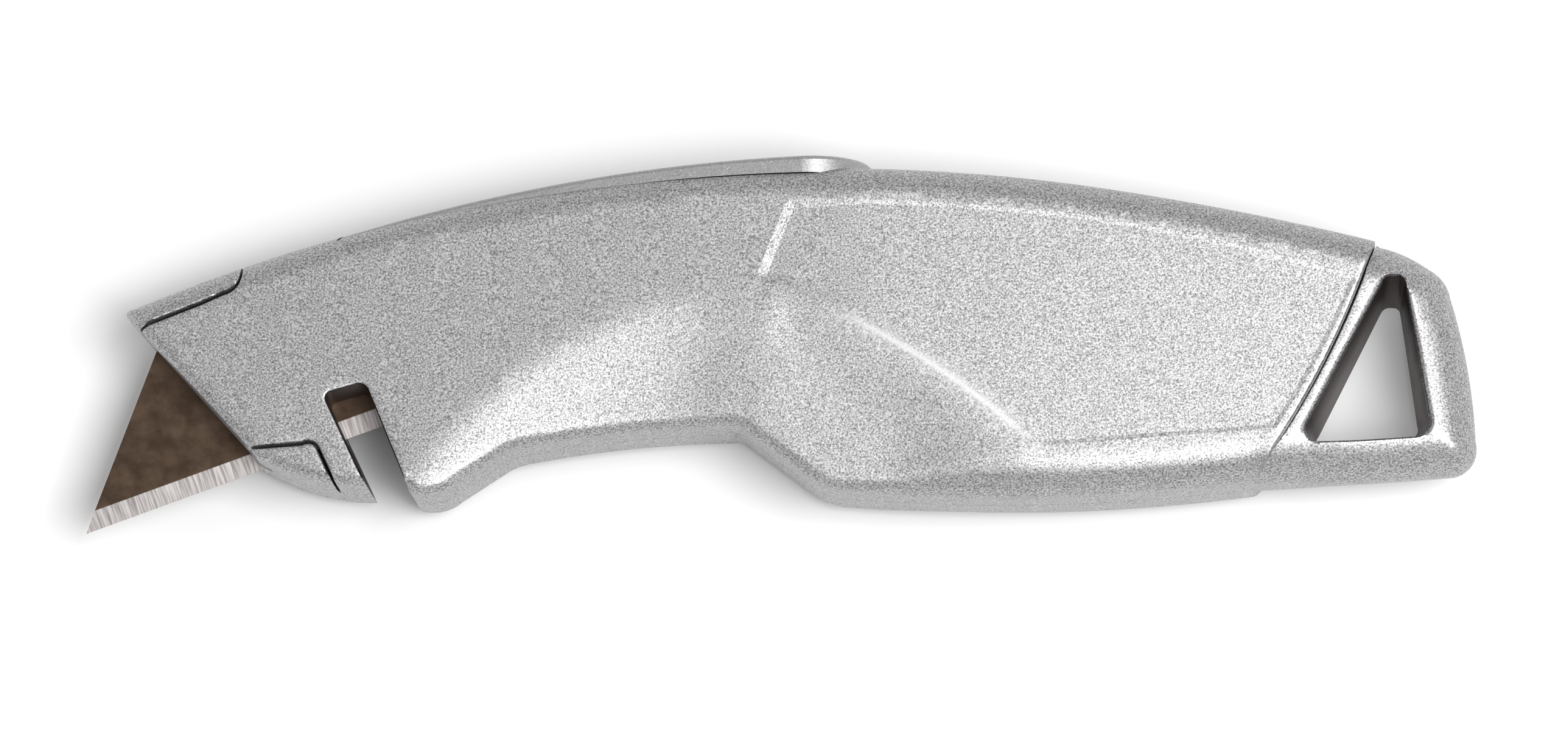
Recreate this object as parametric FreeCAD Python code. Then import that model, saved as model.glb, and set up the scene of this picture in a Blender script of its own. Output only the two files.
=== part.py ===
"""Squeeze-lever utility knife: cast shells, lever, swinging blade carriage and pull-out magazine.

The knife lies on its right side on z = 0.  +X runs from the blade tip to the tail, +Y points to the
spine and +Z to the left side.  All sizes are in millimetres.
"""
import FreeCAD
import Part
import math
import os

Vector = FreeCAD.Vector

# Body
MID_Z = 9.5                 # parting plane of the two shells
PANEL_HALF = 9.5            # half thickness over the raised rear panels
FLANK_HALF = 9.1            # half thickness of the flat flank behind the scoop
NOSE_HALF = 6.0             # half thickness at the very front of the nose
WALL = 2.2                  # shell wall along the outline
FLANK_WALL = 2.0            # shell wall on the flat sides
SPINE_ROUND = 3.4
BELLY_ROUND = 0.9
SCOOP_DEEP = 2.2            # depth of the finger scoop below the flank
SCOOP_WALL = 1.6            # shell wall left under the scoop
RUN = 0.15                  # running gap between moving and fixed parts
HOOK_GAP = 0.3              # seam between the tongues and the left shell

# Arc guide: spine, carriage and guide ribs share this centre
GUIDE_X = 4.0
GUIDE_Y = -201.5
SPINE_R = 222.3

# Blade: standard trapezoid
BLADE_LENGTH = 61.0
BLADE_HEIGHT = 19.0
BLADE_THICK = 0.6
BLADE_END_DEG = 50.0        # angle between the cutting edge and the slanted end
BLADE_BEVEL = 2.3           # width of the ground bevel
TIP_X = -84.9
TIP_Y = -22.62
EDGE_DEG = 19.7             # cutting edge against +X, blade out
RETRACT_DEG = 8.0           # swing of the carriage about the guide centre

# Lever
LEVER_OPEN_DEG = 14.0
PIVOT_X = -50.0
PIVOT_Y = 9.5
PIVOT_R = 1.5
FRONT_R = 4.7               # round front end of the lever, about the pivot
LEVER_REAR_X = 11.5
LEVER_ROUND = 0.5
LEVER_SEAT_R = 221.3        # underside of the lever cap
DRIVE_R = 216.6             # drive pin on the carriage, distance from the guide centre
DRIVE_DEG = -11.2           # its angle at rest, from +Y towards +X
DRIVE_PIN_R = 1.2

# Magazine
DRAW_DEG = 3.0              # the magazine slides out along this direction
SPARES = 4
TRAY = (3.6, 66.6, -16.2, 5.0)           # along the slide, then across it, before the draw angle
TRAY_LOW = MID_Z - 5.0
TRAY_HIGH = MID_Z + 4.0
TAIL_LOW = 4.0
TAIL_HIGH = 15.0

# Fasteners, as (x, y)
SCREWS = ((-40.8, -14.6), (8.2, -14.6), (21.5, 16.6), (55.0, 11.2))
SCREW_HEAD_R = 2.2
SCREW_SINK = 1.6            # depth of the head recess below the right flank
DOWELS = ((-31.0, -11.0), (44.0, 13.2))
POST = (29.5, 11.0)         # post that holds the return spring


def outline(start, *steps):
    """Planar face at z = 0; a step is (x, y) for a line or (via_x, via_y, x, y) for an arc."""
    here = Vector(start[0], start[1], 0)
    edges = []
    for step in steps + (tuple(start),):
        end = Vector(step[-2], step[-1], 0)
        if len(step) == 4:
            edges.append(Part.Arc(here, Vector(step[0], step[1], 0), end).toShape())
        elif (end - here).Length > 1e-6:
            edges.append(Part.LineSegment(here, end).toShape())
        here = end
    return Part.Face(Part.Wire(edges))


def slab(face, low, high):
    """Extrude a z = 0 face between two heights."""
    lifted = face.copy()
    lifted.translate(Vector(0, 0, low))
    return lifted.extrude(Vector(0, 0, high - low))


def rod(x, y, radius, low, high):
    """Upright round bar."""
    return Part.makeCylinder(radius, high - low, Vector(x, y, low))


def block(x0, x1, y0, y1, low, high):
    """Box between two corners."""
    return Part.makeBox(x1 - x0, y1 - y0, high - low, Vector(x0, y0, low))


def on_arc(radius, degrees):
    """Point about the guide centre; the angle runs from +Y towards +X."""
    turn = math.radians(degrees)
    return GUIDE_X + radius * math.sin(turn), GUIDE_Y + radius * math.cos(turn)


def band(inner, outer, from_deg, to_deg):
    """Face of a ring sector about the guide centre."""
    middle = (from_deg + to_deg) / 2
    return outline(
        on_arc(inner, from_deg),
        on_arc(inner, middle) + on_arc(inner, to_deg),
        on_arc(outer, to_deg),
        on_arc(outer, middle) + on_arc(outer, from_deg),
    )


def spine_y(x, radius=SPINE_R):
    """Height of an arc about the guide centre at x."""
    return GUIDE_Y + math.sqrt(radius ** 2 - (x - GUIDE_X) ** 2)


def fuse(shapes):
    """Union of a list of solids, with seams merged."""
    whole = shapes[0]
    if len(shapes) > 1:
        whole = whole.multiFuse(shapes[1:])
    return whole.removeSplitter()


def turned(shape, degrees, x, y):
    """Copy of a shape turned about an upright axis."""
    copy = shape.copy()
    copy.rotate(Vector(x, y, 0), Vector(0, 0, 1), degrees)
    return copy


def flipped(shape):
    """Mirror image of a shape in the parting plane."""
    return shape.mirror(Vector(0, 0, MID_Z), Vector(0, 0, 1))


def rounded(shape, radius, wanted):
    """Fillet the edges that the test picks."""
    result = shape.makeFillet(radius, [edge for edge in shape.Edges if wanted(edge)])
    if not (result.isValid() and result.Solids):
        raise ValueError("fillet failed")
    return result


# ---------------------------------------------------------------- outlines

def body_outline():
    """Side view of the closed shells, with the cord notch behind the nose."""
    return outline(
        (-80.0, 4.0),
        (-79.8, 4.35, -79.2, spine_y(-79.2)),
        (-20.0, spine_y(-20.0), 41.0, spine_y(41.0)),
        (57.0, 14.65, 73.0, 10.85),
        (66.4, -4.9, 58.0, -18.35),
        (28.6, -20.1, 9.0, -19.35),
        (6.4, -18.95, 4.4, -17.9),
        (-3.4, -12.0),
        (-4.1, -11.4, -5.2, -11.18),
        (-18.0, -11.8, -30.9, -13.5),
        (-32.3, -13.85, -33.6, -14.5),
        (-39.2, -18.1),
        (-41.7, -19.3, -43.6, -19.3),
        (-44.3, -19.1, -44.7, -18.4),
        (-49.5, -6.7),
        (-50.0, -5.95, -50.9, -5.75),
        (-54.0, -6.6),
        (-54.7, -7.1, -54.6, -7.9),
        (-49.8, -18.1),
        (-57.0, -17.1, -62.9, -14.6),
        (-63.4, -14.45, -63.7, -14.1),
    )


def nose_hook_outline():
    """Upper tongue of the right shell that wraps over the nose."""
    return outline(
        (-82.0, -1.3),
        (-76.8, 2.45),
        (-70.5, 4.8),
        (-67.6, 6.05),
        (-66.1, 7.0, -65.6, 8.6),
        (-65.6, 12.0),
        (-82.0, 12.0),
    )


def chin_hook_outline():
    """Lower tongue of the right shell, under the nose."""
    return outline(
        (-64.3, -13.6),
        (-57.6, -13.15),
        (-56.3, -13.1, -55.7, -13.9),
        (-53.1, -19.5),
        (-66.0, -19.5),
    )


def flank_profile(raise_by=0.0):
    """Half cross-section along the knife, as a face in the X-Z plane above the parting plane."""
    points = [
        Vector(-86, 0, MID_Z),
        Vector(-86, 0, MID_Z + NOSE_HALF - 0.2 + raise_by),
        Vector(-3, 0, MID_Z + FLANK_HALF - 0.25 + raise_by),
        Vector(12, 0, MID_Z + FLANK_HALF + raise_by),
        Vector(80, 0, MID_Z + FLANK_HALF + raise_by),
        Vector(80, 0, MID_Z),
    ]
    edges = [Part.LineSegment(a, b).toShape() for a, b in zip(points[:2], points[1:3])]
    middle = Vector(4.0, 0, MID_Z + FLANK_HALF - 0.06 + raise_by)
    edges.append(Part.Arc(points[2], middle, points[3]).toShape())
    edges += [Part.LineSegment(a, b).toShape() for a, b in zip(points[3:], points[4:] + points[:1])]
    return Part.Face(Part.Wire(edges))


def flank_half(x):
    """Half thickness of the flank at x."""
    front = -86.0
    rise = (FLANK_HALF - NOSE_HALF) / (-3.0 - front)
    return min(FLANK_HALF, NOSE_HALF - 0.2 + rise * (x - front))


def flank_solid(raise_by=0.0):
    """Everything between the parting plane and the left flank surface."""
    face = flank_profile(raise_by)
    face.translate(Vector(0, -40, 0))
    return face.extrude(Vector(0, 80, 0))


def panel_outline(inset=0.0):
    """Raised panel on the rear flank."""
    face = outline(
        (-1.6, 7.8),
        (1.4, 15.3),
        (1.9, 15.95, 2.9, 16.05),
        (21.0, 15.35, 39.2, 13.4),
        (55.0, 10.0, 70.0, 5.9),
        (70.5, 5.4, 70.1, 4.6),
        (65.6, -4.6, 60.9, -12.4),
        (60.7, -12.75, 60.2, -12.8),
        (32.9, -14.6),
        (31.0, -13.85),
        (20.5, -5.3, 5.0, 3.5),
        (2.5, 4.8, -0.6, 5.7),
        (-1.7, 6.4, -1.6, 7.8),
    )
    return face if inset == 0 else face.makeOffset2D(-inset)


def raised_panel():
    """Panel with a bevelled edge, standing on the flank."""
    foot = panel_outline().OuterWire.copy()
    crown = panel_outline(0.7).OuterWire.copy()
    foot.translate(Vector(0, 0, MID_Z + FLANK_HALF - 0.3))
    crown.translate(Vector(0, 0, MID_Z + PANEL_HALF))
    return Part.makeLoft([foot, crown], True, True)


def scoop_tool(lowered=0.0):
    """Long shallow bowl that forms the finger scoop, ending sharply along the panel's front edge."""
    across, along = 60.0, 220.0
    centre = Vector(-9.0, -14.0, MID_Z + FLANK_HALF - SCOOP_DEEP + along - lowered)
    bowl = Part.makeTorus(along - across, across, centre, Vector(0, 1, 0))
    keep = outline((-60, -40), (-60, 8.0), (-3, 8.0), (-0.6, 5.3), (2.5, 4.4, 5.0, 3.1),
                   (20.5, -5.7, 31.0, -14.2), (31.0, -40))
    return bowl.common(slab(keep, MID_Z + 1, 30))


# ---------------------------------------------------------------- shells

def spine_rounding():
    """Everything below the spine, with the spine's long rounding."""
    under = outline(
        (-95.0, spine_y(-95.0)),
        (-20.0, spine_y(-20.0), 41.0, spine_y(41.0)),
        (57.0, 14.65, 73.0, 10.85),
        (85.0, 7.75),
        (85.0, -45.0),
        (-95.0, -45.0),
    )
    whole = slab(under, MID_Z, MID_Z + 12).common(flank_solid())

    def spine(edge):
        centre = edge.CenterOfMass
        return edge.BoundBox.ZMin > MID_Z + 3 and centre.y > 5 and edge.BoundBox.YMin > -30

    return rounded(whole, SPINE_ROUND, spine)


def belly_rounding():
    """Everything above the belly, with the rounding of its long rear arc."""
    over = outline(
        (-90.0, -30.0),
        (9.0, -30.0),
        (9.0, -19.35),
        (28.6, -20.1, 58.0, -18.35),
        (85.0, -16.6),
        (85.0, 40.0),
        (-90.0, 40.0),
    )
    whole = slab(over, MID_Z, MID_Z + 12).common(flank_solid())

    def belly(edge):
        box = edge.BoundBox
        return box.ZMin > MID_Z + 3 and box.YMax < -11 and box.XMin > 11 and box.XMax < 60

    return rounded(whole, BELLY_ROUND, belly)


def half_body():
    """Solid outer form of one half, before it is hollowed."""
    body = slab(body_outline(), MID_Z, MID_Z + 12).common(spine_rounding())
    body = body.common(belly_rounding())
    return body.cut(scoop_tool()).fuse(raised_panel())


def cavity():
    """Hollow of one half: follows the outline and is open at the rear for the magazine."""
    room = body_outline().makeOffset2D(-WALL)
    hollow = slab(room, MID_Z, MID_Z + 12).common(flank_solid(-FLANK_WALL))
    hollow = hollow.cut(scoop_tool(SCOOP_WALL))
    hollow = hollow.fuse(slab(room, MID_Z - 1, MID_Z))
    mouth = block(40, 90, TRAY[2] - 0.3, TRAY[3] + 0.3, MID_Z - 1, MID_Z + 5.4)
    return hollow.fuse(turned(mouth, DRAW_DEG, 0, 0))


def lever_plan(gap=0.0):
    """Footprint of the lever cap seen from the spine, as a solid through all heights of y."""
    front_half = 5.4 + gap
    rear_half = 8.1 + gap
    nose_x = PIVOT_X - FRONT_R - gap
    end_x = LEVER_REAR_X + gap
    straight_x = end_x - rear_half
    points = [
        Vector(nose_x, 0, MID_Z - front_half),
        Vector(straight_x, 0, MID_Z - rear_half),
        Vector(end_x, 0, MID_Z),
        Vector(straight_x, 0, MID_Z + rear_half),
        Vector(nose_x, 0, MID_Z + front_half),
    ]
    edges = [
        Part.LineSegment(points[0], points[1]).toShape(),
        Part.Arc(points[1], points[2], points[3]).toShape(),
        Part.LineSegment(points[3], points[4]).toShape(),
        Part.LineSegment(points[4], points[0]).toShape(),
    ]
    face = Part.Face(Part.Wire(edges))
    face.translate(Vector(0, -5, 0))
    return face.extrude(Vector(0, 45, 0))


def lever_seat():
    """Space that the lever cap, its webs and its round front end take out of the shells."""
    step = slab(band(LEVER_SEAT_R - RUN, SPINE_R + 6, -14.2, 3.5), 0, 19).common(lever_plan(RUN))
    front = rod(PIVOT_X, PIVOT_Y, FRONT_R + RUN, 0, 19).common(lever_plan(RUN))
    front = front.common(block(-60, PIVOT_X + 3, PIVOT_Y - 3.2, 30, 0, 19))
    web_slot = block(PIVOT_X - 3.0, -2.4, 5.2, 26.0, MID_Z + 2.2, MID_Z + 4.6)
    ear_slot = block(PIVOT_X - 3.0, PIVOT_X + 12, 5.2, 26.0, MID_Z - 4.6, MID_Z - 2.2)
    lock_slot = block(6.4, 10.6, 12.0, 26.0, MID_Z - 5.2, MID_Z - 2.8)
    return fuse([step, front, web_slot, ear_slot, lock_slot])


def blade_channel():
    """Slot that lets the blade swing through the nose and across the notch."""
    sweep = band(197.8, 218.9, -27.5, -6.0)
    return slab(sweep, MID_Z - 0.6, MID_Z + 0.6)


RIB_FROM = -16.9                          # degrees along the guide
RIB_TO = 1.0
RAIL_INNER = 211.0
RAIL_OUTER = 213.0


def guide_ribs():
    """Two arc ribs inside the right shell; the carriage rail runs between them."""
    low = MID_Z - 8.2
    inner = slab(band(RAIL_INNER - RUN - 1.3, RAIL_INNER - RUN, RIB_FROM, RIB_TO), low, MID_Z - 2.0)
    outer = slab(band(RAIL_OUTER + RUN, RAIL_OUTER + RUN + 1.3, RIB_FROM, RIB_TO), low, MID_Z - 2.0)
    return [inner, outer]


SCREW_PILLAR_R = 2.8
DOWEL_PILLAR_R = 2.0
POST_PILLAR_R = 2.2
PILLAR_SKIN = 1.6                         # wall left between a pillar's end and the outside


def pillars(side):
    """Round pillars for screws, dowels and the spring post; side is +1 for left, -1 for right."""
    shapes = []
    for x, y in SCREWS:
        shapes.append((x, y, SCREW_PILLAR_R, 0.0, flank_half(x) - PILLAR_SKIN))
    for x, y in DOWELS:
        shapes.append((x, y, DOWEL_PILLAR_R, 0.0, flank_half(x) - PILLAR_SKIN))
    shapes.append((POST[0], POST[1], POST_PILLAR_R, 2.6, flank_half(POST[0]) - PILLAR_SKIN))
    shapes.append((PIVOT_X, PIVOT_Y, 2.9, 4.6, flank_half(PIVOT_X) - 0.3))
    solids = []
    for x, y, radius, near, far in shapes:
        low, high = sorted((MID_Z + side * near, MID_Z + side * far))
        solids.append(rod(x, y, radius, low, high))
    return fuse(solids)


def pin_holes(side):
    """Blind holes for the dowels, the spring post and the lever pivot."""
    holes = []
    for x, y, radius, depth in (
        [(x, y, 1.0, 2.5) for x, y in DOWELS]
        + [(POST[0], POST[1], 1.25, 4.6), (PIVOT_X, PIVOT_Y, PIVOT_R, 6.2)]
    ):
        low, high = sorted((MID_Z - side * 0.5, MID_Z + side * depth))
        holes.append(rod(x, y, radius, low, high))
    return fuse(holes)


def left_shell():
    outer = half_body()
    shell = outer.cut(cavity())
    shell = shell.cut(blade_channel())
    for hook in (nose_hook_outline(), chin_hook_outline()):
        shell = shell.cut(slab(hook.makeOffset2D(HOOK_GAP), MID_Z - 1, 20))
    shell = shell.cut(lever_seat())
    shell = shell.fuse(pillars(1).common(outer)).cut(pin_holes(1))
    for x, y in SCREWS:
        shell = shell.cut(rod(x, y, 1.25, MID_Z - 1, MID_Z + 5.0))
    return shell


def hooks():
    """The two tongues of the right shell that lock over the left one."""
    faces = (nose_hook_outline(), chin_hook_outline())
    tongues = fuse([slab(face, MID_Z - 0.8, 20) for face in faces])
    return tongues.common(half_body().fuse(slab(body_outline(), MID_Z - 0.8, MID_Z)))


def right_shell():
    outer = flipped(half_body())
    shell = outer.cut(flipped(cavity())).fuse(hooks())
    ribs = fuse(guide_ribs()).common(flipped(flank_solid(-0.8)))
    shell = shell.fuse(ribs.cut(lock_pocket()))
    shell = shell.cut(blade_channel()).cut(lever_seat())
    shell = shell.fuse(pillars(-1).common(outer)).cut(pin_holes(-1))
    for x, y in SCREWS:
        surface = MID_Z - flank_half(x)
        shell = shell.cut(rod(x, y, 1.4, surface - 2, MID_Z + 1))
        shell = shell.cut(rod(x, y, SCREW_HEAD_R + RUN, surface - 2, surface + SCREW_SINK))
    return shell.cut(lock_pocket())


# ---------------------------------------------------------------- lock button

LOCK_TRAVEL = 2.8
LOCK_BAR = (-9.0, 6.4, 13.9, 16.1)       # x from, x to, y from, y to


def lock_button():
    x0, x1, y0, y1 = LOCK_BAR
    bar = block(x0, x1, y0, y1, MID_Z - 6.6, MID_Z - 5.4)
    hook = block(x1 - 1.6, x1, y0, y1, MID_Z - 6.6, MID_Z - 3.0)
    neck = block(x0 + 1.5, x0 + 5.5, y0 - 3.4, y1 - 0.6, MID_Z - 6.6, MID_Z - 5.4)
    pad = block(x0 + 1.5, x0 + 5.5, y0 - 3.4, y1 - 3.2, 1.4, MID_Z - 5.4)
    return fuse([bar, hook, neck, pad])


def lock_pocket():
    """Slot through the right flank for the button, with room for its travel."""
    x0, x1, y0, y1 = LOCK_BAR
    slot = block(x0 + 1.5 - RUN, x0 + 5.5 + LOCK_TRAVEL + RUN, y0 - 3.4 - RUN, y1 - 3.2 + RUN, -1, 4)
    room = block(x0 - RUN, x1 + LOCK_TRAVEL + RUN, y0 - 3.4 - RUN, y1 + RUN,
                 MID_Z - 6.6 - RUN, MID_Z - 1.9)
    return slot.fuse(room)


# ---------------------------------------------------------------- lever

def drive_point(open_deg):
    """Drive pin centre when the lever stands open by an angle."""
    return on_arc(DRIVE_R, DRIVE_DEG + RETRACT_DEG * open_deg / LEVER_OPEN_DEG)


def cam_point(open_deg):
    """The same point carried back into the lever's rest position."""
    x, y = drive_point(open_deg)
    turn = math.radians(-open_deg)
    dx, dy = x - PIVOT_X, y - PIVOT_Y
    return (
        PIVOT_X + dx * math.cos(turn) - dy * math.sin(turn),
        PIVOT_Y + dx * math.sin(turn) + dy * math.cos(turn),
    )


def cam_slot(radius, low, high):
    """Curved slot cut that keeps the carriage in step with the lever."""
    steps = 8
    pieces = []
    centres = [cam_point(LEVER_OPEN_DEG * i / steps) for i in range(steps + 1)]
    for (ax, ay), (bx, by) in zip(centres, centres[1:]):
        length = math.hypot(bx - ax, by - ay)
        bar = Part.makeBox(length, 2 * radius, high - low, Vector(0, -radius, low))
        bar.rotate(Vector(), Vector(0, 0, 1), math.degrees(math.atan2(by - ay, bx - ax)))
        bar.translate(Vector(ax, ay, 0))
        pieces.append(bar)
    pieces += [rod(x, y, radius, low, high) for x, y in centres]
    return fuse(pieces)


LEVER_TOP = (9.6, -200.9, 222.9)        # centre and radius of the cap's top


def squeeze_lever():
    cx, cy, radius = LEVER_TOP
    top = lambda x: cy + math.sqrt(radius ** 2 - (x - cx) ** 2)
    seat = lambda x: spine_y(x, LEVER_SEAT_R)
    x0, x1 = PIVOT_X - FRONT_R - 2, LEVER_REAR_X + 2
    cap_face = outline(
        (x0, seat(x0)),
        (-20, seat(-20), x1, seat(x1)),
        (x1, top(x1)),
        (-20, top(-20), x0, top(x0)),
    )
    keep = block(PIVOT_X, 40, -5, 40, 0, 19).fuse(rod(PIVOT_X, PIVOT_Y, FRONT_R, 0, 19))
    cap = slab(cap_face, 0, 19).common(lever_plan())

    def rim(edge):
        on_top = all(abs(corner.Y - top(corner.X)) < 0.05 for corner in edge.Vertexes)
        return on_top and edge.Length > 20

    cap = rounded(cap, LEVER_ROUND, rim).common(keep)
    web_low, web_high = MID_Z + 2.4, MID_Z + 4.4
    start, end = cam_point(0), cam_point(LEVER_OPEN_DEG)
    web_face = outline(
        (PIVOT_X, PIVOT_Y - 2.6),
        (start[0], start[1] - 3.4),
        (end[0] - 0.5, end[1] - 3.4),
        (end[0] + 3.2, end[1] - 1.5),
        (end[0] + 3.6, end[1] + 6.0),
        (-3.0, 14.0),
        (-3.0, seat(-3.0) + 0.5),
        (-26.5, seat(-26.5) + 0.5, PIVOT_X, seat(PIVOT_X) + 0.5),
    )
    eye = rod(PIVOT_X, PIVOT_Y, 2.6, web_low, web_high)
    web = slab(web_face, web_low, web_high).fuse(eye)
    web = web.cut(cam_slot(DRIVE_PIN_R + 0.1, web_low - 1, web_high + 1))
    ear = outline(
        (PIVOT_X, PIVOT_Y - 2.6),
        (PIVOT_X + 4, PIVOT_Y - 1.5),
        (PIVOT_X + 10, seat(PIVOT_X + 10) + 0.5),
        (PIVOT_X - 1.5, seat(PIVOT_X - 1.5) + 0.5),
    )
    right_ear = slab(ear, MID_Z - 4.4, MID_Z - 2.4).fuse(
        rod(PIVOT_X, PIVOT_Y, 2.6, MID_Z - 4.4, MID_Z - 2.4))
    lock_ear = block(8.0, 10.2, 12.6, seat(9) + 0.4, MID_Z - 5.0, MID_Z - 3.0)
    lock_ear = lock_ear.cut(block(7.0, 9.2 + RUN, 13.7, 16.3, MID_Z - 6, MID_Z - 2))
    lever = fuse([cap, web, right_ear, lock_ear])
    bore = rod(PIVOT_X, PIVOT_Y, PIVOT_R + 0.05, MID_Z - 6, MID_Z + 6)
    return lever.cut(bore)


def lever_pivot_pins():
    left = rod(PIVOT_X, PIVOT_Y, PIVOT_R, MID_Z + 2.2, MID_Z + 6.2)
    return Part.makeCompound([left, flipped(left)])


# ---------------------------------------------------------------- blade and carriage

def blade_face():
    """Trapezoid with two locating notches in the back edge, in its own frame: tip at the origin."""
    inset = BLADE_HEIGHT / math.tan(math.radians(BLADE_END_DEG))
    back0, back1 = inset, BLADE_LENGTH - inset
    middle = BLADE_LENGTH / 2
    notch_half, notch_deep, pitch = 1.3, 2.2, 3.2
    points = [(BLADE_LENGTH, 0), (back1, BLADE_HEIGHT)]
    for centre in (middle + pitch, middle - pitch):
        points += [
            (centre + notch_half, BLADE_HEIGHT),
            (centre + notch_half, BLADE_HEIGHT - notch_deep),
            (centre - notch_half, BLADE_HEIGHT - notch_deep),
            (centre - notch_half, BLADE_HEIGHT),
        ]
    points.append((back0, BLADE_HEIGHT))
    return outline((0, 0), *points)


def blade_solid(thick=BLADE_THICK):
    """Blade in its own frame, mid-plane at z = 0, with both bevels ground to the edge."""
    plate = slab(blade_face(), -thick / 2, thick / 2)
    wedge = Part.Face(Part.makePolygon([
        Vector(0, -1, thick / 2 + 0.01), Vector(0, BLADE_BEVEL, thick / 2 + 0.01),
        Vector(0, BLADE_BEVEL, thick / 2), Vector(0, 0, 0.02), Vector(0, -1, 0.02),
        Vector(0, -1, thick / 2 + 0.01)]))
    cutter = wedge.extrude(Vector(BLADE_LENGTH + 2, 0, 0))
    cutter.translate(Vector(-1, 0, 0))
    below = cutter.mirror(Vector(), Vector(0, 0, 1))
    return plate.cut(cutter).cut(below)


def placed_blade(shape):
    """Move a shape from the blade's own frame to its place in the knife."""
    moved = shape.copy()
    moved.rotate(Vector(), Vector(0, 0, 1), EDGE_DEG)
    moved.translate(Vector(TIP_X, TIP_Y, MID_Z))
    return moved


def blade():
    return placed_blade(blade_solid())


def notch_lugs(low, high):
    """Two lugs of the carriage that fill the blade's notches."""
    middle = BLADE_LENGTH / 2
    lugs = [
        block(middle + side - 1.15, middle + side + 1.15, BLADE_HEIGHT - 2.1, BLADE_HEIGHT + 0.2, low, high)
        for side in (-3.2, 3.2)
    ]
    return [placed_blade(lug) for lug in lugs]


def blade_carriage():
    arm = slab(band(207.2, 218.9, -19.0, -11.2), MID_Z - 1.5, MID_Z + 1.5)
    back = slab(band(208.6, 218.9, -11.3, -7.0), MID_Z - 1.5, MID_Z + 1.5)
    heel = slab(band(200.6, 208.8, -11.3, -8.8), MID_Z - 1.5, MID_Z + 1.5)
    rail = slab(band(RAIL_INNER, RAIL_OUTER, -16.6, -7.2), MID_Z - 4.4, MID_Z - 1.4)
    body = fuse([arm, back, heel, rail])
    face = blade_face()
    pocket = slab(face.makeOffset2D(0.08), -0.35, 4)
    body = body.cut(placed_blade(pocket))
    body = body.fuse(fuse(notch_lugs(-0.4, 0.6)))
    clip_floor = MID_Z + CLIP_LOW - 0.01
    body = body.cut(slab(band(209.45, 217.15, -14.95, -12.5), clip_floor, MID_Z + 3))
    body = body.cut(slab(band(209.45, 213.75, -12.65, -9.45), clip_floor, MID_Z + 3))
    x, y = on_arc(DRIVE_R, DRIVE_DEG)
    body = body.cut(rod(x, y, DRIVE_PIN_R, MID_Z - 1.0, MID_Z + 3))
    hook_x, hook_y = on_arc(213.5, -7.6)
    body = body.cut(rod(hook_x, hook_y, 0.8, MID_Z - 2, MID_Z + 2))
    magnet_x, magnet_y = on_arc(210.0, -15.0)
    return body.cut(rod(magnet_x, magnet_y, 1.5, MID_Z - 1.3, MID_Z - 0.35))


def carriage_magnet():
    x, y = on_arc(210.0, -15.0)
    return rod(x, y, 1.5, MID_Z - 1.3, MID_Z - 0.38)


def drive_pin():
    x, y = on_arc(DRIVE_R, DRIVE_DEG)
    return rod(x, y, DRIVE_PIN_R, MID_Z - 1.0, MID_Z + 4.9)


CLIP_LOW = 0.32             # underside of the clip above the parting plane


def blade_clip():
    """Leaf clip that presses the blade into the carriage pocket."""
    leaf = slab(band(209.6, 217.0, -14.8, -12.6), MID_Z + CLIP_LOW, MID_Z + 0.72)
    tab = slab(band(209.6, 213.6, -12.7, -9.6), MID_Z + CLIP_LOW, MID_Z + 0.72)
    lifted = slab(band(209.6, 213.6, -11.0, -9.6), MID_Z + 1.55, MID_Z + 1.9)
    riser = slab(band(209.6, 213.6, -11.2, -10.9), MID_Z + CLIP_LOW, MID_Z + 1.9)
    tab = tab.cut(slab(band(209, 214, -10.9, -9.0), MID_Z, MID_Z + 1.5))
    return fuse([leaf, tab, riser, lifted])


# ---------------------------------------------------------------- springs

def coil(start, end, radius, wire, turns):
    """Round-wire coil between two points in a plane z = const, with straight end legs."""
    a, b = Vector(*start), Vector(*end)
    axis = b - a
    length = axis.Length
    helix = Part.makeHelix(length / turns, length, radius)
    section = Part.Wire(Part.Circle(Vector(radius, 0, 0), Vector(0, 1, 0), wire).toShape())
    spring = Part.Wire(helix.Edges).makePipeShell([section], True, True)
    spring.Placement = FreeCAD.Placement(a, FreeCAD.Rotation(Vector(0, 0, 1), axis))
    return spring


def return_spring():
    x0, y0 = on_arc(213.5, -7.25)
    return coil((x0 + 2.0, y0 - 0.6, MID_Z), (POST[0] - 3.0, POST[1] + 0.1, MID_Z), 1.6, 0.28, 24)


def spring_post():
    return rod(POST[0], POST[1], 1.22, MID_Z - 4.5, MID_Z + 4.5)


def bow(x0, x1, high_y, low_y, thick):
    """Bowed leaf seen from the side: ends at one height, middle at another."""
    middle = (x0 + x1) / 2
    return outline(
        (x0, high_y),
        (middle, low_y, x1, high_y),
        (x1, high_y + thick),
        (middle, low_y + thick, x0, high_y + thick),
    )


def lock_spring():
    """Bowed leaf that steadies the lock bar."""
    x0, x1, y0, y1 = LOCK_BAR
    return slab(bow(x0 + 0.5, x0 + 8.5, y1 + 1.4, y1 + 0.1, 0.25), MID_Z - 6.4, MID_Z - 5.6)


# ---------------------------------------------------------------- magazine

def tail_outline():
    """Tail loop behind the shells; its front edge follows the shells' rear edge."""
    return outline(
        (73.35, 10.35),
        (77.6, 8.75, 80.6, 7.1),
        (81.4, 6.5, 81.8, 5.6),
        (83.9, -3.5, 84.9, -12.6),
        (84.75, -15.6, 82.6, -16.7),
        (58.35, -18.1),
        (66.65, -4.95, 73.35, 10.35),
    )


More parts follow.
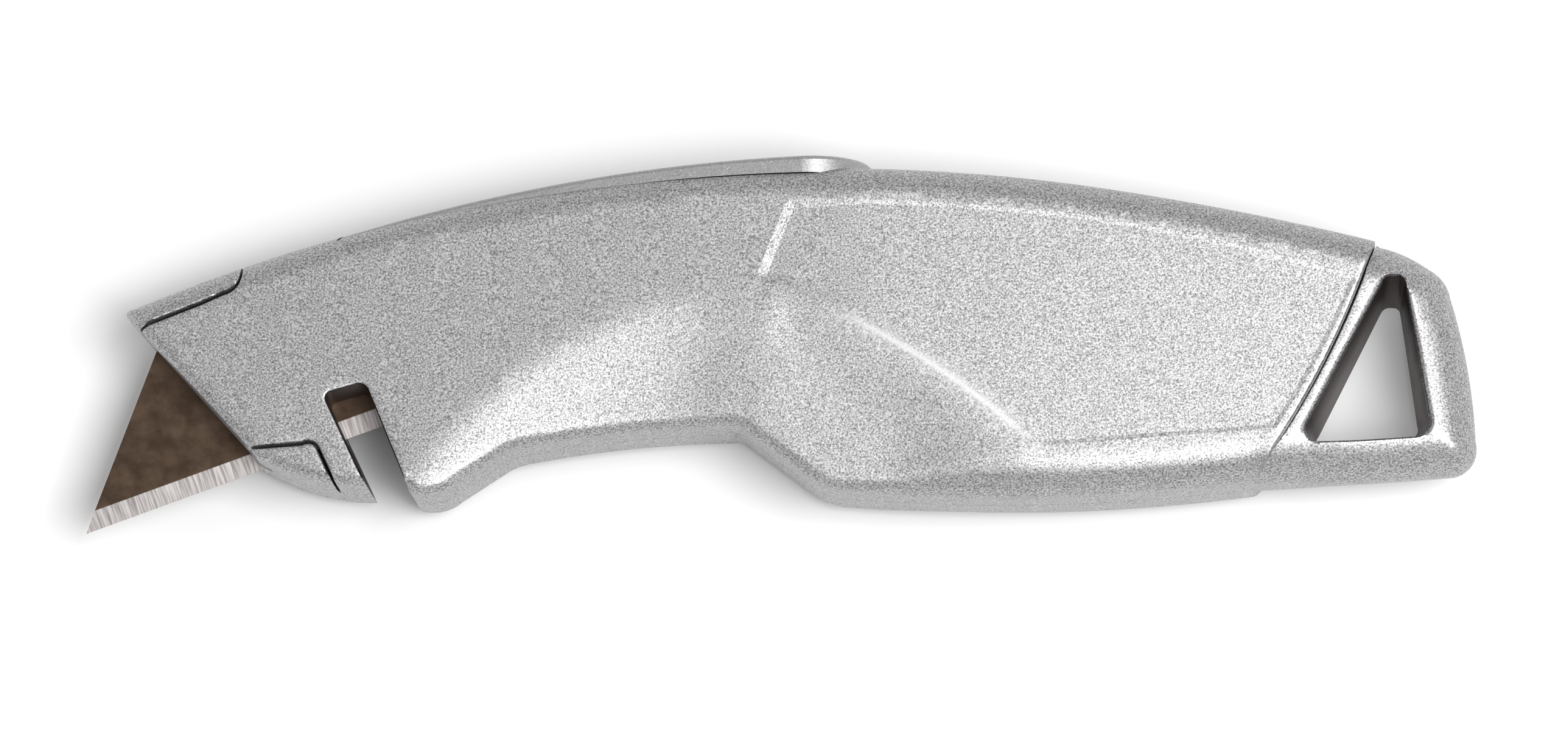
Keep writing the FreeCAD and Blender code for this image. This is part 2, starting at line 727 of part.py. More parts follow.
def lanyard_hole():
    """Three-cornered hole, wider on the left side."""
    def loop(z, inset):
        face = outline(
            (73.7, 5.3),
            (75.0, 6.5, 76.6, 5.2),
            (79.1, -10.6),
            (78.9, -12.6, 77.3, -13.3),
            (66.0, -13.9),
            (64.5, -13.2, 64.75, -11.3),
        )
        wire = face.makeOffset2D(-inset).OuterWire if inset else face.OuterWire
        wire.translate(Vector(0, 0, z))
        return wire
    return Part.makeLoft([loop(TAIL_LOW - 0.5, 1.5), loop(TAIL_HIGH + 0.5, 0)], True, True)


def drawn(shape):
    """Turn a shape from the slide direction's own frame into the knife's."""
    return turned(shape, DRAW_DEG, 0, 0)


def tray_face(grow=0.0):
    u0, u1, v0, v1 = TRAY
    return outline(
        (u0 - grow, v1 + grow),
        (u0 - grow, v1 - 3.5),
        (u0 + 16 - grow * 0.5, v0 - grow),
        (u1, v0 - grow),
        (u1, v1 + grow),
    )


def tail_magazine():
    tail = slab(tail_outline(), TAIL_LOW, TAIL_HIGH).cut(lanyard_hole())
    tray = slab(tray_face(), TRAY_LOW, TRAY_HIGH)
    hollow = slab(tray_face().makeOffset2D(-0.9), TRAY_LOW + 1.1, TRAY_HIGH + 1)
    tray = drawn(tray.cut(hollow))
    ahead = slab(outline((0, -30), (0, 20), (73.35, 20), (73.35, 10.35),
                         (66.65, -4.95, 58.35, -18.1), (58.35, -30)), 0, 20)
    root = drawn(block(50, 72, TRAY[2] + 0.3, TRAY[3] - 0.3, TRAY_LOW, TRAY_HIGH))
    root = root.cut(ahead.copy()).common(slab(tail_outline(), 0, 20)).cut(lanyard_hole())
    tray = tray.common(ahead.fuse(slab(tail_outline(), 0, 20))).cut(lanyard_hole())
    return fuse([tail, tray, root])


def spare_stack():
    """Spare blades, edge up, lying flat in the tray."""
    spares = []
    for index in range(SPARES):
        spare = blade_solid()
        spare.rotate(Vector(), Vector(1, 0, 0), 180)
        spare.translate(Vector(4.7, 3.9, TRAY_LOW + 1.12 + BLADE_THICK / 2 + index * 0.62))
        spares.append(drawn(spare))
    return spares


def magazine_spring():
    """Bowed leaf that holds the spare blades down."""
    low = TRAY_LOW + 1.2 + SPARES * 0.62
    face = Part.Face(Part.Wire([
        Part.Arc(Vector(22, 0, low + 2.6), Vector(35, 0, low + 0.2), Vector(48, 0, low + 2.6)).toShape(),
        Part.LineSegment(Vector(48, 0, low + 2.6), Vector(48, 0, low + 2.9)).toShape(),
        Part.Arc(Vector(48, 0, low + 2.9), Vector(35, 0, low + 0.5), Vector(22, 0, low + 2.9)).toShape(),
        Part.LineSegment(Vector(22, 0, low + 2.9), Vector(22, 0, low + 2.6)).toShape(),
    ]))
    face.translate(Vector(0, -9, 0))
    return drawn(face.extrude(Vector(0, 6, 0)))


def magazine_detent():
    """Leaf on the right shell's floor that drags on the tray's underside."""
    floor = MID_Z - FLANK_HALF + FLANK_WALL
    face = bow(30, 46, floor + 0.1, TRAY_LOW - 0.35, 0.3)
    strip = slab(face, 0, 5)
    strip.rotate(Vector(), Vector(1, 0, 0), 90)
    strip.translate(Vector(0, -3, 0))
    return drawn(strip)


# ---------------------------------------------------------------- fasteners

def screw(x, y):
    """Pan-head screw with a cross recess, driven from the right side."""
    seat = MID_Z - flank_half(x) + SCREW_SINK
    head = rod(x, y, SCREW_HEAD_R, seat - 1.3, seat)
    shank = rod(x, y, 1.2, seat - 0.1, MID_Z + 4.5)
    recess = block(x - 1.3, x + 1.3, y - 0.25, y + 0.25, seat - 2, seat - 0.7)
    cross = turned(recess, 90, x, y)
    return head.fuse(shank).cut(recess).cut(cross)


def case_screws():
    return Part.makeCompound([screw(x, y) for x, y in SCREWS])


def alignment_pins():
    return Part.makeCompound([rod(x, y, 0.98, MID_Z - 2.4, MID_Z + 2.4) for x, y in DOWELS])


def build():
    parts = {
        "left_shell": left_shell(),
        "right_shell": right_shell(),
        "squeeze_lever": squeeze_lever(),
        "lever_pivot_pins": lever_pivot_pins(),
        "blade_carriage": blade_carriage(),
        "carriage_magnet": carriage_magnet(),
        "drive_pin": drive_pin(),
        "blade_clip": blade_clip(),
        "blade": blade(),
        "return_spring": return_spring(),
        "spring_post": spring_post(),
        "lock_button": lock_button(),
        "lock_spring": lock_spring(),
        "tail_magazine": tail_magazine(),
        "magazine_spring": magazine_spring(),
        "magazine_detent": magazine_detent(),
        "case_screws": case_screws(),
        "alignment_pins": alignment_pins(),
    }
    for index, spare in enumerate(spare_stack(), start=1):
        parts["spare_blade_%d" % index] = spare
    return parts


os.makedirs("parts", exist_ok=True)
for name, shape in build().items():
    box = shape.BoundBox
    print("%-18s solids %d valid %s volume %8.1f  x %.2f..%.2f  y %.2f..%.2f  z %.2f..%.2f" % (
        name, len(shape.Solids), shape.isValid(), shape.Volume,
        box.XMin, box.XMax, box.YMin, box.YMax, box.ZMin, box.ZMax))
    shape.exportStep("parts/" + name + ".step")
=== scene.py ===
import math

import bmesh
import bpy
import numpy as np
from mathutils import Matrix, Vector, kdtree
from mathutils.geometry import delaunay_2d_cdt


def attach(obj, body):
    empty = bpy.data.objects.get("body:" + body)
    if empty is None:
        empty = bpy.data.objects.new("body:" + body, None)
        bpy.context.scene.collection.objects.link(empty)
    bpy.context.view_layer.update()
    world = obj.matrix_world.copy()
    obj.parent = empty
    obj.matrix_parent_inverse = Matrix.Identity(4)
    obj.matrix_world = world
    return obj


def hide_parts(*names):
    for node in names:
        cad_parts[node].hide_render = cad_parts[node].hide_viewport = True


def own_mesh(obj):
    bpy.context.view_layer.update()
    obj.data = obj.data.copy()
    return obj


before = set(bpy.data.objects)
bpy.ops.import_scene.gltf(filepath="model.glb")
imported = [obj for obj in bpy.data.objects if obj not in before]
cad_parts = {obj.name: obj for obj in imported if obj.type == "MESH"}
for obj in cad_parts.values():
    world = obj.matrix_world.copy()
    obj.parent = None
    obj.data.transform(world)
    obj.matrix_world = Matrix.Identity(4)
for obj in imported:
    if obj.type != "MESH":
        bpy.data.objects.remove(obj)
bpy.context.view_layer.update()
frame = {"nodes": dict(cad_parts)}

# Lengths are in millimetres until they are written to a mesh, in the CAD frame:
# +X to the tail, +Y to the spine, +Z out of the left flank. The shells part at MID.
MM = 0.001
MID = 9.5
STEP = 0.55                       # spacing of points along an outline
GRID = 1.15                       # spacing of points on a flank

# Guide circle of the spine
GUIDE_X, GUIDE_Y, SPINE_R = 4.0, -201.5, 222.3

# Shells
FLANK_HALF = 9.5                  # half thickness behind x = FLANK_FULL_X
FLANK_FULL_X = 12.0
FLANK_BEND = 15.0                 # length over which the taper starts
FLANK_TAPER = 0.0366
WALL = 2.2
ROOF = 2.0
PARTING_GROOVE = 0.12
PANEL_SINK = 0.08                 # depth of the panel, which grows to PANEL_DEEP at its front
PANEL_DEEP = 0.22
PANEL_DEEP_X = 14.0               # where that growth starts
PANEL_SLOPE = 0.21                # slope of the panel's border
RIDGE_WIDTH = 2.4                 # width of that border at the ridge
SCOOP_SLOPE = 0.15
RIM_SOFT, RIDGE_SOFT = 3.5, 3.0   # lengths over which the scoop starts at its rim and ridge
SCOOP_FADE_X, SCOOP_FADE = 14.0, 24.0    # where the scoop starts to fade out, and how long
SCOOP_IN_ROOF = 0.9               # share of the scoop's depth that the ceiling follows
HOOK_GAP = 0.34
LIP = 0.14                        # distance of the extra points that keep a crease crisp
CREST = 0.55                      # half width of the strip along the panel's ridge that carries the painted highlight

# Tail loop and tray
TAIL_HALF = 6.0
TAIL_ROUND = 5.6                  # roundings of the rim, of the seam's edge and of the hole
SEAM_ROUND = 0.3
HOLE_ROUND = 0.8
SEAM_SHIFT = 0.2                  # how far the loop starts ahead of the shells' rear edge
SEAM_RISE = 1.5                   # how much thicker the loop is where it meets the shells
SEAM_FADE = 9.0                   # distance over which that thickness fades
DRAW_DEG = 3.0                    # direction in which the magazine slides out
TRAY_LOW = 4.5
TRAY_HIGH = 13.5
TRAY_WALL = 0.9
TRAY_FLOOR = 1.1


# ---------------------------------------------------------------- curves and distances

def spine_y(x, radius=SPINE_R):
    """Height of the guide circle, or of one about the same centre, at x."""
    return GUIDE_Y + math.sqrt(radius ** 2 - (x - GUIDE_X) ** 2)


def on_guide(radius, degrees):
    turn = math.radians(degrees)
    return GUIDE_X + radius * math.sin(turn), GUIDE_Y + radius * math.cos(turn)


def arc_points(a, via, b, step):
    """Points after a, up to b, on the circle through three points."""
    ax, ay, bx, by, cx, cy = *a, *via, *b
    d = 2 * (ax * (by - cy) + bx * (cy - ay) + cx * (ay - by))
    ox = ((ax ** 2 + ay ** 2) * (by - cy) + (bx ** 2 + by ** 2) * (cy - ay)
          + (cx ** 2 + cy ** 2) * (ay - by)) / d
    oy = ((ax ** 2 + ay ** 2) * (cx - bx) + (bx ** 2 + by ** 2) * (ax - cx)
          + (cx ** 2 + cy ** 2) * (bx - ax)) / d
    radius = math.hypot(ax - ox, ay - oy)
    start = math.atan2(ay - oy, ax - ox)
    middle = (math.atan2(by - oy, bx - ox) - start) % math.tau
    sweep = (math.atan2(cy - oy, cx - ox) - start) % math.tau
    if middle > sweep:
        sweep -= math.tau
    count = max(2, round(abs(sweep) * radius / step), round(abs(sweep) / 0.35))
    angles = [start + sweep * i / count for i in range(1, count)]
    return [(ox + radius * math.cos(t), oy + radius * math.sin(t)) for t in angles] + [b]


def trace(start, *steps, step=STEP):
    """Sampled line: each step is (x, y), or (via x, via y, x, y) for an arc."""
    points = [start]
    for target in steps:
        last = points[-1]
        if len(target) == 4:
            points += arc_points(last, target[:2], target[2:], step)
        else:
            count = max(1, round(math.dist(last, target) / step))
            points += [tuple(last[k] + (target[k] - last[k]) * i / count for k in (0, 1))
                       for i in range(1, count + 1)]
    return np.array(points)


def normals(line):
    """Unit normals to the right of the way along a sampled line."""
    way = np.gradient(line, axis=0)
    way /= np.linalg.norm(way, axis=1)[:, None]
    return np.stack([way[:, 1], -way[:, 0]], axis=1)


def nearest(points, line, values=None):
    """Distance from each point to a sampled line, and the line's value there."""
    a, b = line[:-1], line[1:]
    along = b - a
    length2 = np.maximum((along ** 2).sum(axis=1), 1e-12)
    best = np.empty(len(points))
    value = np.empty(len(points))
    for k in range(0, len(points), 2000):
        p = points[k:k + 2000, None, :]
        t = np.clip(((p - a) * along).sum(axis=2) / length2, 0, 1)
        gap = np.linalg.norm(a + t[:, :, None] * along - p, axis=2)
        pick = gap.argmin(axis=1)
        rows = np.arange(len(pick))
        best[k:k + 2000] = gap[rows, pick]
        if values is not None:
            part = t[rows, pick]
            value[k:k + 2000] = values[pick] * (1 - part) + values[pick + 1] * part
    return best, value


def inside(points, loop):
    """Which points lie inside a closed loop."""
    x, y = points[:, 0], points[:, 1]
    hit = np.zeros(len(points), dtype=bool)
    for (x0, y0), (x1, y1) in zip(loop, np.roll(loop, -1, axis=0)):
        if y0 != y1:
            hit ^= ((y0 > y) != (y1 > y)) & (x < x0 + (y - y0) * (x1 - x0) / (y1 - y0))
    return hit


def ease(t):
    """Smooth step from 0 to 1."""
    t = np.clip(t, 0, 1)
    return t * t * (3 - 2 * t)


def closed_line(loop):
    """The loop as a line that ends where it starts."""
    return np.vstack([loop, loop[:1]])


def shrunk(loop, gap):
    """Loop offset to the right by gap, without the points that come too near the loop."""
    ring = closed_line(loop)
    moved = loop + normals(ring)[:-1] * gap
    away, _ = nearest(moved, ring)
    return moved[away > abs(gap) - 0.03]


# ---------------------------------------------------------------- outlines

CORNER = (-79.2, spine_y(-79.2))
spine = trace(CORNER, (-20.0, spine_y(-20.0), 41.0, spine_y(41.0)), (57.0, 14.65, 73.0, 10.85))
rear = trace((73.0, 10.85), (66.4, -4.9, 57.9, -18.6))
belly = trace((57.9, -18.6), (28.6, -20.3, 9.0, -19.35))
groove = trace(
    (9.0, -19.35), (6.4, -18.95, 4.4, -17.9), (-3.4, -12.0), (-4.1, -11.4, -5.2, -11.18),
    (-18.0, -11.8, -30.9, -13.5), (-32.3, -13.85, -33.6, -14.5), (-39.2, -18.1),
    (-41.7, -19.3, -43.6, -19.3), (-44.3, -19.1, -44.7, -18.4))
notch = trace(
    (-44.7, -18.4), (-49.5, -6.7), (-50.0, -5.95, -50.9, -5.75), (-54.0, -6.6),
    (-54.7, -7.1, -54.6, -7.9), (-49.8, -18.1), step=0.4)
chin = trace((-49.8, -18.1), (-57.0, -17.1, -62.9, -14.6), (-63.4, -14.45, -63.7, -14.1))
front = trace((-63.7, -14.1), (-80.0, 4.0), (-79.8, 4.35, *CORNER))
BODY = np.vstack([line[:-1] for line in (spine, rear, belly, groove, notch, chin, front)])

nose_hook = trace((-82.0, -1.3), (-76.8, 2.45), (-70.5, 4.8), (-67.6, 6.05),
                  (-66.1, 7.0, -65.6, 8.6), (-65.6, 14.0), step=0.4)
chin_hook = trace((-64.9, -13.62), (-57.6, -13.15), (-56.3, -13.1, -55.7, -13.9),
                  (-53.1, -19.5), step=0.4)

panel_left = trace((-0.6, 5.7), (-1.7, 6.4, -1.6, 7.8), (1.4, 15.3), (1.9, 15.95, 2.9, 16.05))
panel_top = trace((2.9, 16.05), (21.0, 15.35, 39.2, 13.4), (55.0, 10.0, 70.0, 5.9))
panel_rear = trace((70.0, 5.9), (70.5, 5.4, 70.1, 4.6), (65.6, -4.6, 60.9, -12.4),
                   (60.7, -12.75, 60.2, -12.8))
panel_low = trace((60.2, -12.8), (32.9, -14.6), (31.0, -13.85))
ridge = trace((31.0, -13.85), (20.5, -5.3, 5.0, 3.5), (2.5, 4.8, -0.6, 5.7))
PANEL = np.vstack([line[:-1] for line in (panel_left, panel_top, panel_rear, panel_low, ridge)])

scoop_rim = trace((-46.8, -18.7), (-42.6, -13.2, -37.9, -8.2), (-30.0, -2.0, -20.2, 2.9),
                  (-14.2, 4.9, -6.8, 5.3), (-3.4, 4.6, -0.6, 3.9))


def chain(line, width, turn=90.0):
    """A stretch of edge with the width of its rounding, which may change along it.

    The rounding starts square to the parting plane and turns by so many degrees: at 90 it
    meets the flank smoothly, and below that in a soft crease."""
    widths = width(line[:, 0]) if callable(width) else np.full(len(line), float(width))
    return line, widths, math.radians(turn)


SPINE_CHAIN = chain(np.vstack([front[-6:-1], spine]), lambda x: 2.8 + 0.5 * ease((x + 60) / 60), 74)
BELLY_CHAIN = chain(belly, lambda x: 1.4 + 3.1 * ease((x - 9) / 20))
BODY_CHAINS = [SPINE_CHAIN, BELLY_CHAIN, chain(rear, 0.3), chain(groove, 1.4), chain(notch, 0.4),
               chain(chin, 1.5), chain(front, 1.3)]
HOOK_ROUND = 0.35


# ---------------------------------------------------------------- heights

def flank(x):
    """Half thickness along the knife: full at the rear, tapering to the nose."""
    ahead = np.maximum(FLANK_FULL_X - x, 0)
    bend = np.minimum(ahead, FLANK_BEND)
    return FLANK_HALF - FLANK_TAPER * (bend ** 2 / (2 * FLANK_BEND) + ahead - bend)


def rounding(points, chains):
    """How far the rounded edges lie below the flank."""
    fall = np.zeros(len(points))
    for line, widths, turn in chains:
        away, width = nearest(points, line, widths)
        radius = width / (1 - math.cos(turn))
        inward = np.clip(1 - away / radius, math.cos(turn), 1)
        fall = np.maximum(fall, radius * (math.sin(turn) - np.sqrt(1 - inward ** 2)))
    return fall


def panel_floor(x):
    """Depth of the panel at x."""
    return PANEL_SINK + (PANEL_DEEP - PANEL_SINK) * (1 - ease(x / PANEL_DEEP_X))


def panel_line():
    """The panel's outline with the width of its sloping border, which is broad at the ridge."""
    loop = closed_line(PANEL)
    widths = panel_floor(loop[:, 0]) / PANEL_SLOPE
    on_ridge = (nearest(loop, ridge)[0] < 1e-6) & (loop[:, 0] > 1.0)
    widths[on_ridge] = RIDGE_WIDTH
    for _ in range(4):
        widths = (np.roll(widths, 1) + widths + np.roll(widths, -1)) / 3
    return loop, np.minimum(widths, 1.4 + 0.12 * np.maximum(loop[:, 0], 0))


PANEL_LINE, PANEL_BEVEL = panel_line()


def panel_depth(points):
    """How far the flank is sunk inside the panel's border."""
    away, width = nearest(points, PANEL_LINE, PANEL_BEVEL)
    share = np.clip(away / width, 0, 1)
    return np.where(inside(points, PANEL), panel_floor(points[:, 0]) * share, 0)


def soft_start(away, start):
    """Distance that counts from the edge of a hollow, growing smoothly over the start."""
    return np.where(away < start, away ** 2 / (2 * start), away - start / 2)


def scoop(points):
    """Depth of the finger scoop: an even slope that starts softly at its rim and at the ridge."""
    region = np.vstack([scoop_rim, ridge[::-1], [[40, -14], [40, -40], [-60, -40]]])
    rim_away = soft_start(nearest(points, scoop_rim)[0], RIM_SOFT) + 1e-4
    ridge_away = soft_start(nearest(points, ridge)[0], RIDGE_SOFT) + 1e-4
    deep = SCOOP_SLOPE * (rim_away ** -3 + ridge_away ** -3) ** (-1 / 3)
    fade = 1 - ease((points[:, 0] - SCOOP_FADE_X) / SCOOP_FADE)
    return np.where(inside(points, region), deep * fade, 0)


def shell_top(points, chains):
    """Height of the flank above the parting plane."""
    return flank(points[:, 0]) - rounding(points, chains) - scoop(points) - panel_depth(points)


def shell_roof(points):
    """Ceiling of the hollow."""
    return flank(points[:, 0]) - ROOF - SCOOP_IN_ROOF * scoop(points)


# ---------------------------------------------------------------- triangulated skins

def rings(chains, wanted):
    """Points on the rounded edges, evenly spaced round their arcs."""
    found = []
    for line, widths, turn in chains:
        side = normals(line)
        for angle in np.linspace(0, turn, 8)[1:]:
            gap = (widths * (1 - math.cos(angle)) / (1 - math.cos(turn)))[:, None]
            for way in (1, -1):
                spots = line + way * side * gap
                away, _ = nearest(spots, line)
                keep = wanted(spots) & (away > gap[:, 0] * 0.97 - 1e-9)
                found.append(spots[keep])
    return np.vstack(found)


def hex_grid(loop, spacing, wanted):
    """Staggered rows of points in the wanted region."""
    low, high = loop.min(axis=0), loop.max(axis=0)
    rows = np.arange(low[1], high[1], spacing * 0.866)
    spots = [(x + spacing / 2 * (k % 2), y)
             for k, y in enumerate(rows) for x in np.arange(low[0], high[0], spacing)]
    spots = np.array(spots)
    return spots[wanted(spots)]


def thinned(fixed, extra, gap):
    """The extra points that are at least gap from the fixed ones and from each other."""
    tree = kdtree.KDTree(len(fixed))
    for k, (x, y) in enumerate(fixed):
        tree.insert((x, y, 0), k)
    tree.balance()
    taken = {}
    kept = []
    for x, y in extra:
        cell = (int(x // gap), int(y // gap))
        if cell in taken or tree.find((x, y, 0))[2] < gap:
            continue
        taken[cell] = True
        kept.append((x, y))
    return np.array(kept).reshape(-1, 2)


def skin(loops, lines, chains, wanted, spacing=GRID):
    """Triangles of the wanted region: loops and lines are edges of the mesh."""
    points = []
    edges = []
    for closed, group in ((True, loops), (False, lines)):
        for line in group:
            first = len(points)
            points += [tuple(p) for p in line]
            count = len(line)
            edges += [(first + i, first + i + 1) for i in range(count - 1)]
            if closed:
                edges.append((first + count - 1, first))
    fixed = np.array(points)
    ringed = thinned(fixed, rings(chains, wanted), 0.1)
    both = np.vstack([fixed, ringed])
    filled = thinned(both, hex_grid(fixed, spacing, wanted), spacing * 0.45)
    everything = np.vstack([both, filled])
    made = delaunay_2d_cdt([Vector(p) for p in everything], edges, [], 0, 1e-5)
    flat = np.array([tuple(v) for v in made[0]])
    faces = np.array(made[2])
    kept = wanted(flat[faces].mean(axis=1))
    place = {source: k for k, sources in enumerate(made[3]) for source in sources}
    return flat, faces[kept], place


def edge_owners(faces):
    """The triangle on the left of each directed edge."""
    owner = {}
    for k, (a, b, c) in enumerate(faces):
        for edge in ((a, b), (b, c), (c, a)):
            owner[edge] = k
    return owner


def new_object(name, verts, faces):
    """Mesh object from corners in millimetres."""
    mesh = bpy.data.meshes.new(name)
    mesh.from_pydata([tuple(float(c) * MM for c in v) for v in verts], [], faces)
    mesh.update()
    obj = bpy.data.objects.new(name, mesh)
    bpy.context.scene.collection.objects.link(obj)
    return obj


def drop_loose(obj):
    """Removes the vertices that no face uses."""
    work = bmesh.new()
    work.from_mesh(obj.data)
    bmesh.ops.delete(work, geom=[v for v in work.verts if not v.link_faces], context="VERTS")
    work.to_mesh(obj.data)
    work.free()


def fix_normals(obj):
    """Merges doubles and turns every face outwards."""
    work = bmesh.new()
    work.from_mesh(obj.data)
    bmesh.ops.remove_doubles(work, verts=work.verts, dist=2e-7)
    bmesh.ops.dissolve_degenerate(work, edges=work.edges, dist=1e-7)
    bmesh.ops.recalc_face_normals(work, faces=work.faces)
    work.to_mesh(obj.data)
    work.free()


def smooth(obj, degrees=38):
    """Smooth shading, with edges above the angle kept sharp."""
    obj.data.shade_smooth()
    obj.data.set_sharp_from_angle(angle=math.radians(degrees))


def half_shell(name, side, hooks):
    """One hollow shell as a closed mesh; side is +1 for the left one.

    Each hook is a line, the side of it that is cut away, and the points that close its loop."""
    gaps = []
    hook_loops = []
    for line, away_side, closing in hooks:
        pushed = line + normals(line) * HOOK_GAP * away_side
        gaps.append(pushed)
        hook_loops.append(np.vstack([pushed, closing]))
    chains = BODY_CHAINS + [chain(line, HOOK_ROUND) for line in gaps]
    room = shrunk(BODY, WALL)

    def wanted(points):
        keep = inside(points, BODY)
        for loop in hook_loops:
            keep &= ~inside(points, loop)
        return keep

    crown = PANEL_LINE + normals(PANEL_LINE) * PANEL_BEVEL[:, None]
    outer_lip = PANEL_LINE - normals(PANEL_LINE) * LIP
    inner_lip = PANEL_LINE + normals(PANEL_LINE) * (PANEL_BEVEL[:, None] + LIP)
    loops = [BODY, room, PANEL, crown[:-1], outer_lip[:-1], inner_lip[:-1]]
    crest = [ridge[2:-2] + normals(ridge)[2:-2] * gap for gap in (-CREST, CREST)]
    flat, faces, _ = skin(loops, gaps + crest, chains, wanted)
    top = shell_top(flat, chains)
    roof = shell_roof(flat)
    hollow = inside(flat[faces].mean(axis=1), room)

    edge_away, _ = nearest(flat, closed_line(BODY))
    verts = []
    index = {}

    def corner(kind, v):
        if (kind, v) not in index:
            x, y = flat[v]
            z = {"top": top[v], "roof": roof[v], "floor": 0.0, "lip": PARTING_GROOVE}[kind]
            index[kind, v] = len(verts)
            verts.append([x, y, MID + side * z])
        return index[kind, v]

    polygons = []
    for k, (a, b, c) in enumerate(faces):
        under = "roof" if hollow[k] else "floor"
        polygons.append([corner("top", v) for v in (a, b, c)])
        polygons.append([corner(under, v) for v in (c, b, a)])
    owner = edge_owners(faces)
    for (a, b), k in owner.items():
        other = owner.get((b, a))
        if other is not None:
            if hollow[k] and not hollow[other]:
                polygons.append([corner("roof", a), corner("roof", b),
                                 corner("floor", b), corner("floor", a)])
            continue
        if hollow[k]:
            polygons.append([corner("top", b), corner("top", a),
                             corner("roof", a), corner("roof", b)])
            continue
        upper = [corner("top", b), corner("top", a)]
        down_a = [index["roof", a]] if ("roof", a) in index else []
        down_b = [index["roof", b]] if ("roof", b) in index else []
        rim = edge_away[a] < 1e-4 and edge_away[b] < 1e-4
        middle = [corner("lip", a), corner("lip", b)] if rim else []
        if rim:
            polygons.append(upper + down_a + middle + down_b)
            polygons.append([corner("lip", b), corner("lip", a),
                             corner("floor", a), corner("floor", b)])
        else:
            below = [corner("floor", a), corner("floor", b)]
            polygons.append(upper + down_a + below + down_b)
    # the parting edge is drawn in, so that the seam shows as a fine groove
    inward = normals(closed_line(BODY))
    tree = kdtree.KDTree(len(BODY))
    for k, (x, y) in enumerate(BODY):
        tree.insert((x, y, 0), k)
    tree.balance()
    for (kind, v), place in index.items():
        if kind == "floor" and edge_away[v] < 1e-4:
            k = tree.find((flat[v][0], flat[v][1], 0))[1]
            verts[place][0] += inward[k][0] * PARTING_GROOVE
            verts[place][1] += inward[k][1] * PARTING_GROOVE
    obj = new_object(name, verts, polygons)
    fix_normals(obj)
    return obj


def solid_between(name, flat, faces, upper, lower):
    """Closed mesh between two heights over one triangulated region."""
    count = len(flat)
    verts = [(x, y, z) for (x, y), z in zip(flat, upper)]
    verts += [(x, y, z) for (x, y), z in zip(flat, lower)]
    polygons = [list(face) for face in faces]
    polygons += [[v + count for v in reversed(face)] for face in faces]
    owner = edge_owners(faces)
    polygons += [[b, a, a + count, b + count] for a, b in owner if (b, a) not in owner]
    obj = new_object(name, verts, polygons)
    drop_loose(obj)
    fix_normals(obj)
    return obj


def tongue(line, closing):
    """One of the right shell's tongues, which lies in the left shell's cut-out."""
    loop = np.vstack([line, closing])

    def wanted(points):
        return inside(points, BODY) & inside(points, loop)

    chains = BODY_CHAINS + [chain(line, HOOK_ROUND)]
    flat, faces, _ = skin([BODY], [line], chains, wanted, spacing=0.9)
    top = MID + shell_top(flat, chains)
    return solid_between("tongue", flat, faces, top, np.full(len(flat), MID))


# ---------------------------------------------------------------- cutters

def prism(name, loop, low, high):
    """Closed upright prism over a loop."""
    count = len(loop)
    verts = [(*p, low) for p in loop] + [(*p, high) for p in loop]
    sides = [[i, (i + 1) % count, (i + 1) % count + count, i + count] for i in range(count)]
    ends = [list(range(count)), list(range(count, 2 * count))]
    obj = new_object(name, verts, sides + ends)
    fix_normals(obj)
    return obj


def box_loop(x0, x1, y0, y1, degrees=0.0):
    """Corners of a box turned about the origin."""
    turn = math.radians(degrees)
    return [(x * math.cos(turn) - y * math.sin(turn), x * math.sin(turn) + y * math.cos(turn))
            for x, y in ((x0, y0), (x1, y0), (x1, y1), (x0, y1))]


def circle(x, y, radius, count=48):
    turns = [math.tau * i / count for i in range(count)]
    return [(x + radius * math.cos(t), y + radius * math.sin(t)) for t in turns]


LEVER_GAP = 0.15
LEVER_FRONT_HALF, LEVER_REAR_HALF = 5.4, 8.1
LEVER_FRONT, LEVER_END = -50.2, 11.5
PIVOT = (-50.0, 9.5)
LEVER_NOSE_R = 4.85               # round seat of the lever's nose about its pivot
LEVER_NOSE_HALF = 5.85
SEAT_R = 221.15                   # floor of the lever's seat, about the guide circle's centre
SEAT_TOP, SLOT_TOP = 30.0, 26.0   # cutter tops, both clear of the knife


